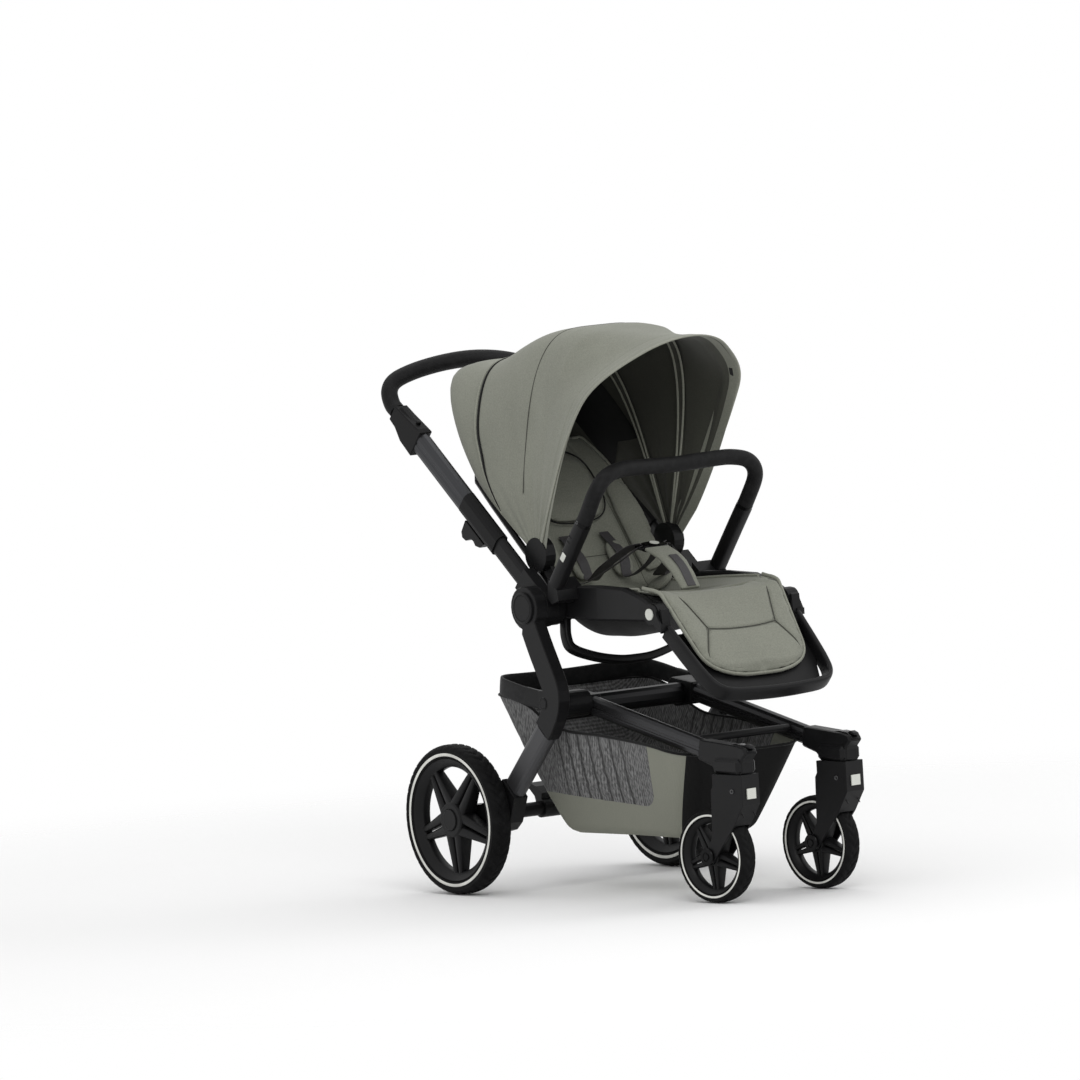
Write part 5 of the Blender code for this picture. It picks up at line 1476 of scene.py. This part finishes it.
    def make_pads(self) -> None:
        """Headrest with its dark piping, wings, shoulder pads and hip pads."""
        square = 3.2
        self.cushion("headrest_pad", (0.0, 0.135), (0.60, 0.085), 0.020, square)
        for side, sign in SIDES.items():
            self.cushion("wing_pad_" + side, (sign * 0.80, 0.27), (0.17, 0.13), 0.014, 2.8)
            self.cushion("shoulder_pad_" + side, (sign * 0.36, 0.335), (0.16, 0.060), 0.016, 3.0, lift=0.004)
            self.cushion("hip_pad_" + side, (sign * 0.72, 0.545), (0.20, 0.055), 0.018, 2.3, lift=0.002)
        ring = [self.on_seat(0.61 * bent(math.cos(turn), 2 / square),
                             0.135 + 0.087 * bent(math.sin(turn), 2 / square), self.pad + 0.008)
                for turn in np.linspace(0, TURN, 80, endpoint=False)]
        piping = Bench.rail("headrest_piping", ring, ring_outline(0.0014), 8, closed=True)
        Bench.dress(piping, "seat", SLING)

    def make_harness(self) -> None:
        """Shoulder and waist webbing, crotch pad, strap and buckle."""
        straps = []
        for sign in (-1, 1):
            shoulder = [self.on_seat(sign * 0.34, 0.25, self.pad + 0.006),
                        self.on_seat(sign * 0.36, 0.33, self.pad + 0.024),
                        self.on_seat(sign * 0.34, 0.41, self.pad + 0.018),
                        Vector((sign * 0.052, -0.230, 0.588)), Vector((sign * 0.036, -0.285, 0.622)),
                        Vector((sign * 0.022, -0.312, 0.6290))]
            waist = [self.on_seat(sign * 0.90, 0.50, self.pad + 0.012),
                     self.on_seat(sign * 0.66, 0.56, self.pad + 0.030),
                     Vector((sign * 0.062, -0.288, 0.600)), Vector((sign * 0.038, -0.306, 0.620)),
                     Vector((sign * 0.024, -0.315, 0.6270))]
            straps += [Bench.rail("strap", even(route, 48), strap_outline(0.022, 0.0018), 20)
                       for route in (shoulder, waist)]
        Bench.dress(Bench.join("harness_webbing", straps), "seat", WEBBING)
        route = even([Vector((0, -0.4185, 0.5498)), Vector((0, -0.3930, 0.5850)), Vector((0, -0.3600, 0.6080)),
                      Vector((0, -0.3200, 0.6220))], 24)

        def outline(share: float, turn: float) -> tuple[float, float]:
            """Section of the crotch pad, wide at the buckle."""
            wide = 0.0225 + 0.0065 * math.sin(math.pi * min(share * 1.1, 1.0) * 0.55)
            return bent(math.cos(turn), 0.6) * wide, math.sin(turn) * 0.0058

        pad = Bench.rail("crotch_pad", route, outline, 36)
        Bench.puff(pad, 0.0030, 0.003)
        Bench.dress(pad, "seat", SAGE, smooth=70)
        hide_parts("buckle")
        strap = Bench.rail("crotch_strap", [point + Vector((0, -0.0052, 0.0068)) for point in route[:15]],
                           strap_outline(0.0190, 0.0016), 20)
        Bench.dress(strap, "seat", WEBBING)
        self.make_buckle()

    def make_buckle(self) -> None:
        """The buckle: a rounded housing with a collar and two tongues."""
        lean = Matrix.Translation((0, -0.3170, 0.6250)) @ Matrix.Rotation(math.atan(0.25), 4, "X")
        outline = []
        for turn in np.linspace(0, TURN, 48, endpoint=False):
            aside, high = bent(math.cos(turn), 0.62), bent(math.sin(turn), 0.62)
            outline.append((0.0275 * aside, (0.0165 - 0.002 * abs(aside)) * high))
        housing = Bench.slab("housing", outline, 0.0126, lean @ Matrix.Translation((0, 0, -0.0005)), 0.003)
        collar = [(0.0098, 0.0), (0.0112, 0.0004), (0.0112, 0.0018), (0.0098, 0.0020)]
        up = lean @ Matrix.Translation((0, 0, 0.0056)) @ Matrix.Rotation(-math.pi / 2, 4, "Y")
        ring = Bench.turned("collar", collar, up, 40)
        tongues = []
        for sign in (-1, 1):
            shape = [(sign * 0.024, -0.008), (sign * 0.036, -0.010), (sign * 0.038, 0.0),
                     (sign * 0.036, 0.010), (sign * 0.024, 0.008)]
            tongues.append(Bench.slab("tongue", shape, 0.0050, lean, 0.0012))
        Bench.dress(Bench.join("buckle_housing", [housing, ring, *tongues]), "seat", DEEP_PLASTIC)

    def make(self) -> None:
        """Build the seat's soft goods."""
        self.make_liner()
        self.make_sling()
        self.make_binding()
        self.make_pads()
        self.make_harness()
        LOG.info("seat")


@dataclass
class CalfRest:
    """The padded calf rest that hangs from the seat's lip."""

    top: tuple[float, float] = (-0.4960, 0.5475)
    bottom: tuple[float, float] = (-0.6200, 0.4010)
    thickness: float = 0.0155

    def on_pad(self, x: float, t: float, above: float = 0.0) -> Vector:
        """A place over the pad's base: across, share down it from the seat's lip, and height."""
        top, bottom = Vector((0, *self.top)), Vector((0, *self.bottom))
        along = (bottom - top).normalized()
        out = Vector((0, along.z, -along.y))
        base = top + (bottom - top) * max(t, 0.0)
        if t < 0:
            turn = min(-t / 0.10, 1.0)
            base += Vector((0, -t * 0.185, t * 0.036))
            out = out.lerp(Vector((0, 0.10, 1.0)), turn).normalized()
        rim = (0.0085 - 0.055 * min(t, 0.0)) * abs(x / 0.135) ** 3 * max(1 - max(t, 0.0) * 1.3, 0.0)
        return base + Vector((x, 0, 0)) + out * (above + rim)

    def half(self, t: float) -> float:
        """Half width at a share down the pad, round at the bottom."""
        wide = 0.1365 - 0.0225 * t if t > 0 else 0.1365 - 0.014 * t
        curl = clamp((t - 0.62) / 0.38)
        return wide * max(1 - curl ** 3, 0.0) ** 0.40

    def make(self) -> None:
        """The pad, its channels with painted shade lines in them, and its bound edge."""
        start = -0.20

        def place(u: float, v: float) -> Vector:
            """A point of the closed pad."""
            t = start + (1 - start) * v
            share, side = -math.cos(TURN * u), math.sin(TURN * u)
            ease = min(1.0, 2.2 * math.sin(math.pi / 2 * min((1 - v) / 0.5 + 0.12, 1.0)))
            full = table(((-0.20, 0.0052), (0.0, 0.0070), (0.16, 0.0125), (1.0, 0.0125)), t)
            swell = bent(side, 0.5) if abs(side) > 1e-9 else 0.0
            return self.on_pad(self.half(t) * share, t, full / 2 * (1 + swell) * ease)

        pad = Bench.sheet("calf_rest_pad", 72, 56, place, Join.CAPPED)
        Bench.puff(pad, 0.0040, 0.0030)
        # painted shade: dark lines laid in the channels stand in for the shade in them
        seams = Bench.stitch("calf_rest_seams", pad, self.seams(), 0.0009, 0.0014)
        Bench.dress(seams, "footrest", SEAM_SHADE)
        for route in self.seams():
            Bench.sew(pad, route, 0.0034, 0.0075)
        edge = []
        for sign, order in ((-1, np.linspace(start, 0.995, 70)), (1, np.linspace(0.995, start, 70))):
            edge += [self.on_pad(sign * (self.half(t) - 0.0012), t, 0.0042) for t in order]
        binding = Bench.rail("calf_rest_binding", even(edge, 160), ring_outline(0.0030, 0.0038), 12)
        for obj, finish in ((pad, SAGE), (binding, SAGE_TRIM)):
            Bench.dress(obj, "", finish, smooth=70)
            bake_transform(obj)
        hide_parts("calf_pad")
        LOG.info("calf rest")

    def seams(self) -> list[list[Vector]]:
        """Routes of the channels: two slants, a cross seam and the lower panel."""
        high = self.thickness
        drawn = (((-0.104, 0.0), (-0.090, 0.23), (-0.077, 0.46)),
                 ((0.104, 0.0), (0.090, 0.23), (0.077, 0.46)),
                 ((-0.077, 0.46), (-0.035, 0.485), (0.0, 0.49), (0.035, 0.485), (0.077, 0.46)),
                 ((-0.077, 0.46), (-0.094, 0.63), (-0.106, 0.78), (-0.092, 0.90), (-0.050, 0.945), (0.0, 0.955),
                  (0.050, 0.945), (0.092, 0.90), (0.106, 0.78), (0.094, 0.63), (0.077, 0.46)))
        return [[self.on_pad(x, t, high) for x, t, _ in flow([(x, t, 0) for x, t in row], 60)] for row in drawn]


@dataclass
class ShoppingBasket:
    """The basket bag under the seat with its rolled edge and the hoop round its back."""

    wall: float = 0.0022
    round: float = 0.016
    middle_y: float = -0.3025
    turn_share: float = 0.3
    floor_share: float = 0.16

    def rim(self, y: float) -> float:
        """Height of the bag's rim at a place along it."""
        rows = ((-0.560, 0.2595), (-0.470, 0.2785), (-0.330, 0.2935), (-0.230, 0.3000), (-0.170, 0.3200),
                (-0.135, 0.3400), (-0.090, 0.3530), (-0.056, 0.3580), (-0.030, 0.3585), (-0.0085, 0.3574))
        return table(rows, y)

    def place(self, u: float, level: float) -> Vector:
        """A point of the bag: share of the way round it, and level from the floor to the rim."""
        ease = max(level, 0.0) ** 0.9
        front, rear = -0.4710 - 0.083 * ease, -0.1340 + 0.1255 * ease
        front_half, rear_half = 0.083 + 0.066 * ease, 0.100 + 0.070 * ease
        radius = 0.030 + 0.030 * level
        edges = ((1, 1, rear_half, rear), (-1, 1, rear_half, rear), (-1, -1, front_half, front),
                 (1, -1, front_half, front))
        index = min(int(u * 4), 3)
        local = u * 4 - index
        sx, sy, half, edge = edges[index]
        centre = Vector((sx * (half - radius), edge - sy * radius))
        if local < self.turn_share:
            turn = math.radians(90 * index + 90 * local / self.turn_share)
            spot = centre + Vector((math.cos(turn), math.sin(turn))) * radius
        else:
            sx, sy, half, edge = edges[(index + 1) % 4]
            following = Vector((sx * (half - radius), edge - sy * radius))
            turn = math.radians(90 * index + 90)
            out = Vector((math.cos(turn), math.sin(turn))) * radius
            spot = (centre + out).lerp(following + out, (local - self.turn_share) / (1 - self.turn_share))
        height = BAG_BOTTOM + (self.rim(spot.y) - BAG_BOTTOM) * level
        above = height - BAG_BOTTOM
        if above < self.round:
            shift = self.round - math.sqrt(self.round ** 2 - (self.round - above) ** 2)
            arm = spot - Vector((0, self.middle_y))
            spot = spot - arm.normalized() * shift
        spot.x += math.copysign(self.pleat(spot.y, level), spot.x)
        slack = 0.0011 * math.sin(spot.y * 95 + level * 9) * math.sin(level * math.pi)
        spot.x += math.copysign(slack, spot.x)
        return Vector((spot.x, spot.y, height))

    def pleat(self, y: float, level: float) -> float:
        """How far the pleated stretch of a side stands out at a place."""
        share = (y - PLEAT_START) / PLEAT_RUN
        if not 0 < share < 1 or level <= 0.30:
            return 0.0
        swell = math.sin(math.pi * share) ** 0.5 * math.sin(math.pi * min((level - 0.30) / 0.70, 1.0)) ** 0.6
        wave = math.sin(TURN * (PLEATS * share + PLEAT_LEAN * level))
        return (0.0056 * (1 - 2 * abs(wave) ** 1.6) + 0.004) * swell

    def make(self) -> None:
        """Walls, floor, rolled edges and the hoop."""

        def wall(u: float, v: float) -> Vector:
            """The side wall, then the floor drawn in to its middle."""
            if v >= self.floor_share:
                return self.place(u, (v - self.floor_share) / (1 - self.floor_share))
            share = v / self.floor_share
            here = self.place(u, 0.0)
            return Vector((here.x * share, self.middle_y + (here.y - self.middle_y) * share, BAG_BOTTOM))

        bag = Bench.sheet("basket_bag", 264, 56, wall, Join.TUBE)
        Bench.apply(bag, "SOLIDIFY", thickness=self.wall, offset=-1.0)
        Bench.dress(bag, "front_frame", BASKET, smooth=60)
        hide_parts("basket")
        edge = [self.place(u, 1.0) + Vector((0, 0, 0.0012)) for u in np.linspace(0, 1, 200, endpoint=False)]
        roll = Bench.rail("basket_edge", edge, ring_outline(0.0026), 10, closed=True)
        Bench.dress(roll, "front_frame", SLING)
        half = [(0.1740, -0.1800, 0.3565), (0.1750, -0.1350, 0.3630), (0.1750, -0.0900, 0.3715),
                (0.1690, -0.0560, 0.3775), (0.1450, -0.0340, 0.3790), (0.1000, -0.0210, 0.3770),
                (0.0500, -0.0130, 0.3750)]
        hoop = Bench.rail("basket_hoop_band", flow(mirrored(half, (0, -0.0100, 0.3742)), 97),
                          strap_outline(0.0060, 0.0330), 28)
        Bench.dress(hoop, "front_frame", HOOP, smooth=50)
        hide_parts("basket_hoop")
        for side, sign in SIDES.items():
            seam = Bench.rail("hoop_end_" + side, flow([(sign * x, y, z) for x, y, z in half[:3]], 12)[:6],
                              strap_outline(0.0078, 0.0345), 24)
            Bench.dress(seam, "front_frame", PLASTIC)
        LOG.info("basket")


@dataclass
class Bars:
    """The bumper bar and the handle's grip, both wrapped."""

    bumper_x: float = 0.186
    bumper_radius: float = 0.0145
    grip_radius: float = 0.0155
    push_x: float = 0.1785
    offset: float = 0.0117

    def up_tube(self, along: float, above: float = 0.0, x: float = 0.0) -> Vector:
        """A place on the push tube's line."""
        run = Vector((math.cos(PUSH_ANGLE), math.sin(PUSH_ANGLE)))
        out = Vector((-math.sin(PUSH_ANGLE), math.cos(PUSH_ANGLE)))
        spot = Vector(HUB) + run * along + out * (self.offset + above)
        return Vector((x, spot.x, spot.y))

    def bumper_route(self) -> list[Vector]:
        """Centre points of the bumper bar."""
        x, foot, rise = self.bumper_x, (-0.2640, 0.5720), (-0.0540, 0.0680)
        half = [(x, *foot), (x, foot[0] + rise[0], foot[1] + rise[1]), (x, -0.3640, 0.6980),
                (x - 0.002, -0.3930, 0.7420), (x - 0.022, -0.4010, 0.7690), (x - 0.060, -0.3980, 0.7790),
                (x - 0.110, -0.3950, 0.7790)]
        return even([Vector(point) for point in mirrored(half, (0, -0.3930, 0.7770))], 241)

    def make_bumper(self) -> None:
        """Plastic ends with dark slot marks as painted shade, a leather wrap between them and its seams."""
        route = self.bumper_route()
        ends = 42
        r = self.bumper_radius
        wrap = Bench.rail("bumper_wrap", route[ends:-ends], ring_outline(r), 40)
        Bench.dress(wrap, "bumper", LEATHER, smooth=50)
        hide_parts("bumper_bar")
        box = square_outline(r - 0.0006, r - 0.0004, 0.72, 0.72)
        for side, part in (("right", route[:ends]), ("left", route[-ends:])):
            end = Bench.rail("bumper_end_" + side, part, box, 40)
            Bench.dress(end, "bumper", PLASTIC, smooth=50)
        for side, sign in SIDES.items():
            at = ends if side == "right" else len(route) - ends - 1
            ring = Bench.rail("bumper_seam_" + side, route[at - 1:at + 2], ring_outline(r + 0.0004), 40)
            Bench.dress(ring, "bumper", DEEP_PLASTIC)
            head = screw("bumper_screw_" + side, (sign * (self.bumper_x + r - 0.0008), -0.3540, 0.6880),
                         (sign, 0, 0), 0.0034)
            Bench.dress(head, "bumper", STEEL)
            # painted shade: each slot is a thin dark slab that stands in for the shade inside the slot
            slot_shades = []
            for step in (0.016, 0.0275):
                tilt = side_plane(sign * (self.bumper_x + r - 0.0012), -0.3130 - step * 0.62,
                                  0.6390 + step * 0.78)
                slot_shades.append(Bench.slab("slot", oval(0.0055, 0.0017, 20), 0.0016,
                                        tilt @ Matrix.Rotation(math.radians(38), 4, "Z"), 0.0002))
            Bench.dress(Bench.join("bumper_slots_" + side, slot_shades), "bumper", DEEP_PLASTIC)

    def make_grip(self) -> None:
        """The wrapped grip with a raised stitch line underneath."""
        start = self.up_tube(0.5312, 0, self.push_x)
        second = self.up_tube(0.552, 0, self.push_x - 0.0005)
        half = [start, second, Vector((0.1725, 0.2300, 0.9140)), Vector((0.1550, 0.2340, 0.9320)),
                Vector((0.1150, 0.2300, 0.9460)), Vector((0.0600, 0.2230, 0.9560))]
        route = even([*[Vector((-p.x, p.y, p.z)) for p in half], Vector((0, 0.2195, 0.9600)),
                      *reversed(half)], 221)
        grip = Bench.rail("grip_wrap", route, ring_outline(self.grip_radius), 40)
        Bench.dress(grip, "handlebar", LEATHER, smooth=50)
        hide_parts("handle_grip")
        low = [point + Vector((0, 0.0040, -self.grip_radius + 0.0002)) for point in route[22:-22]]
        Bench.dress(Bench.rail("grip_seam", low, ring_outline(0.0010), 8), "handlebar", SLING)

    def make_collars(self) -> None:
        """Push button on each collar."""
        for side, sign in SIDES.items():
            spot = self.up_tube(0.470, 0.0245, sign * self.push_x)
            base = self.up_tube(0.470, 0.0150, sign * self.push_x)
            route = [base, base.lerp(spot, 0.5), spot, spot + (spot - base) * 0.4]
            nub = Bench.rail("collar_nub_" + side, route,
                             lambda v, turn: (0.0045 * (1 - 0.25 * v) * math.cos(turn),
                                              0.0060 * (1 - 0.25 * v) * math.sin(turn)), 20, (1, 0, 0))
            Bench.apply(nub, "BEVEL", width=0.0012, segments=3, limit_method="ANGLE")
            Bench.dress(nub, "handlebar", DEEP_PLASTIC)

    def make(self) -> None:
        """Bumper bar, grip and collar buttons."""
        self.make_bumper()
        self.make_grip()
        self.make_collars()
        LOG.info("bars")


@dataclass
class FrameDetails:
    """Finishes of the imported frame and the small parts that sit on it."""

    leg_face: float = 0.2170
    finishes: dict[str, Finish] = field(default_factory=lambda: {
        "front_tube": FRONT_TUBE, "cross_tube": CROSS_TUBE, "slim_crossbar": PLASTIC, "knee_fitting": PLASTIC,
        "caster_socket": PLASTIC, "leg_tube": LEG_TUBE, "leg_": PLASTIC, "rear_foot": PLASTIC,
        "rear_axle": PLASTIC, "brake_pedal": PLASTIC, "push_tube": PLASTIC, "handle_tube": HANDLE,
        "fold_trigger": PLASTIC, "seat_mount": PLASTIC, "seat_frame": PLASTIC, "footrest_frame": PLASTIC,
        "footrest_button": PALE, "bumper_button": PALE, "buckle_button": PALE, "reflector": REFLECTOR,
        "caster_fork": PLASTIC, "front_axle": PLASTIC, "rear_wheel_cap": PLASTIC, "canopy_bow": PLASTIC})

    def paint_nodes(self, nodes: dict[str, Object]) -> None:
        """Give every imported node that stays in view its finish."""
        for name, obj in nodes.items():
            starts = [start for start in self.finishes if name.startswith(start)]
            if not starts:
                continue
            finish = self.finishes[max(starts, key=len)]
            obj.data.materials.clear()
            obj.data.materials.append(finish.paint())

    def make_covers(self) -> None:
        """The dished cover on each hub, bare in its middle, and the small one on each knee."""
        hub = [(0.0, 0.0022), (0.0225, 0.0022), (0.0232, 0.0016), (0.0240, 0.0016), (0.0248, 0.0026),
               (0.0278, 0.0026), (0.0290, 0.0016), (0.0290, 0.0002), (0.0, 0.0002)]
        knee = [(0.0, 0.0010), (0.0086, 0.0010), (0.0090, 0.0005), (0.0095, 0.0005), (0.0099, 0.0010),
                (0.0112, 0.0008), (0.0112, -0.0006), (0.0, -0.0006)]
        for side, sign in SIDES.items():
            for name, profile, spot, steps in (
                    ("hub_cover_", hub, (sign * (self.leg_face + 0.0018), *HUB), 64),
                    ("knee_cover_", knee, (sign * self.leg_face, -0.2420, 0.3560), 48)):
                cover = Bench.disc(name + side, profile, Matrix.Translation(spot), sign, steps)
                Bench.dress(cover, "legs", PLASTIC)

    def make_sleeves(self) -> None:
        """Smooth moulded rims over the footrest's rail and the hoop under the seat."""
        half = [(0.1480, -0.5380, 0.4940), (0.1440, -0.5850, 0.4500), (0.1385, -0.6250, 0.4125),
                (0.1290, -0.6470, 0.3920), (0.1080, -0.6580, 0.3817), (0.0600, -0.6620, 0.3780)]
        route = flow(mirrored(half, (0, -0.6634, 0.3766)), 121)
        rim = square_outline(0.0058, 0.0156, 0.7, 0.5, drop=0.0060)
        rail = Bench.rail("footrest_rim", route, rim, 28, (0, -0.683, 0.730))
        Bench.dress(rail, "footrest", PLASTIC, smooth=60)
        drop = [(0.1340, -0.214, 0.500), (0.1400, -0.222, 0.470), (0.1330, -0.229, 0.4480),
                (0.0900, -0.236, 0.4300), (0.0400, -0.240, 0.4195)]
        route = flow(mirrored(drop, (0, -0.2405, 0.4175)), 97)
        hoop = Bench.rail("seat_hoop_cover", route, strap_outline(0.0210, 0.0146), 24, (1, 0, 0))
        Bench.dress(hoop, "seat", PLASTIC, smooth=60)

    def make_socket_trim(self) -> None:
        """The glossy nose and latch on each caster socket."""
        for side, sign in SIDES.items():
            x = sign * 0.120
            nose = [(-0.664, 0.2880), (-0.690, 0.2900), (-0.712, 0.2870), (-0.7245, 0.2810),
                    (-0.7285, 0.2745), (-0.7180, 0.2725), (-0.700, 0.2790), (-0.680, 0.2830)]
            cap = Bench.slab("socket_nose_" + side, nose, 0.0225, side_plane(x), 0.0030)
            Bench.dress(cap, "front_frame", DEEP_PLASTIC)
            latch = [(-0.708, 0.2868), (-0.716, 0.2905), (-0.7265, 0.2868), (-0.7290, 0.2825),
                     (-0.722, 0.2825)]
            tab = Bench.slab("socket_latch_" + side, latch, 0.0120, side_plane(x), 0.0010)
            Bench.dress(tab, "front_frame", PLASTIC)

    def make(self, nodes: dict[str, Object]) -> None:
        """Finishes first, then the trim.

        Args:
            nodes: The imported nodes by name.
        """
        self.paint_nodes(nodes)
        self.make_covers()
        self.make_sleeves()
        self.make_socket_trim()
        LOG.info("frame")


@dataclass
class Studio:
    """Camera, floor and lights."""

    focal: float = 466.67
    spot: tuple[float, float, float] = (-15.475, -20.488 + AXLE_Y, 2.614)
    azimuth: float = math.radians(-37.03)
    elevation: float = math.radians(4.42)
    roll: float = math.radians(-3.40)
    ambient: float = 0.80

    def make_camera(self) -> None:
        """The camera that matches the photograph."""
        toward = Vector((math.sin(self.azimuth) * math.cos(self.elevation),
                         -math.cos(self.azimuth) * math.cos(self.elevation), math.sin(self.elevation)))
        flat = Vector((math.cos(self.azimuth), math.sin(self.azimuth), 0))
        upright = toward.cross(flat)
        right = flat * math.cos(self.roll) + upright * math.sin(self.roll)
        high = upright * math.cos(self.roll) - flat * math.sin(self.roll)
        lens = bpy.data.cameras.new("camera")
        lens.lens = self.focal
        lens.sensor_width = 36.0
        lens.clip_start = 0.5
        lens.clip_end = 200.0
        camera = bpy.data.objects.new("camera", lens)
        bpy.context.scene.collection.objects.link(camera)
        camera.matrix_world = Matrix.Translation(self.spot) @ Matrix(
            (right, high, toward)).transposed().to_4x4()
        bpy.context.scene.camera = camera

    def make_world(self) -> None:
        """Even light from all round, seen as white by the camera, in reflections and through glass."""
        world = bpy.data.worlds.new("studio")
        world.use_nodes = True
        bpy.context.scene.world = world
        tree = Tree(world.node_tree)
        rays = tree.node("ShaderNodeLightPath").outputs
        seen = tree.node("ShaderNodeMath", {"operation": "MAXIMUM"},
                         {0: rays["Is Camera Ray"], 1: rays["Is Glossy Ray"]})
        also = tree.node("ShaderNodeMath", {"operation": "MAXIMUM"},
                         {0: seen.outputs[0], 1: rays["Is Transmission Ray"]})
        strength = tree.node("ShaderNodeMapRange", None,
                             {"To Min": self.ambient, "To Max": 1.0, "Value": also.outputs[0]})
        back = world.node_tree.nodes["Background"]
        tree.feed(back.inputs["Color"], (1, 1, 1, 1))
        tree.feed(back.inputs["Strength"], strength.outputs[0])

    def make_floor(self) -> None:
        """A pale round floor that fades into the white."""
        bpy.ops.object.select_all(action="DESELECT")
        bpy.ops.mesh.primitive_circle_add(vertices=96, radius=4.0, fill_type="NGON",
                                          location=(0, 0, -0.0006))
        floor = bpy.context.object
        floor.name = "floor"
        bpy.ops.object.transform_apply(location=True)
        recipe = Recipe("floor_pale")
        x, y, _ = recipe.axes()
        far = (x * x + y * y).ramp(0.8, 6.0)
        recipe.surface(Base_Color=(0.90, 0.90, 0.90, 1), Roughness=0.9, Specular_IOR_Level=0.05)
        clear = recipe.node("ShaderNodeBsdfTransparent")
        blend = recipe.node("ShaderNodeMixShader", None,
                            {0: far, 1: recipe.shader.outputs[0], 2: clear.outputs[0]})
        output = recipe.tree.nodes["Material Output"]
        recipe.feed(output.inputs["Surface"], blend.outputs[0])
        floor.data.materials.append(recipe.material)

    def make_lamp(self, name: str, spot: Sequence[float], size: float, power: float) -> None:
        """One large square lamp that looks at the stroller."""
        bpy.ops.object.light_add(type="AREA", location=spot)
        lamp = bpy.context.object
        lamp.name = name
        lamp.data.energy = power
        lamp.data.size = size
        lamp.rotation_euler = (Vector((0, 0, 0.5)) - Vector(spot)).to_track_quat("-Z", "Y").to_euler()

    def make(self) -> None:
        """Set up the view and its light."""
        bpy.context.scene.view_settings.view_transform = "Standard"
        self.make_camera()
        self.make_world()
        self.make_floor()
        self.make_lamp("key", (-1.8, -3.6, 3.4), 2.2, 55.0)
        self.make_lamp("side", (3.4, -1.6, 2.2), 2.0, 24.0)
        self.make_lamp("top", (0.3, 1.2, 4.2), 2.6, 30.0)


def main() -> None:
    """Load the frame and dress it."""
    logging.basicConfig(level=logging.INFO, format="%(name)s: %(message)s")
    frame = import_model()
    Studio().make()
    FrameDetails().make(frame["nodes"])
    RollingGear().make()
    ShoppingBasket().make()
    SeatCover().make()
    CalfRest().make()
    Bars().make()
    Canopy().make()
    bpy.context.view_layer.update()


if __name__ == "__main__":
    main()
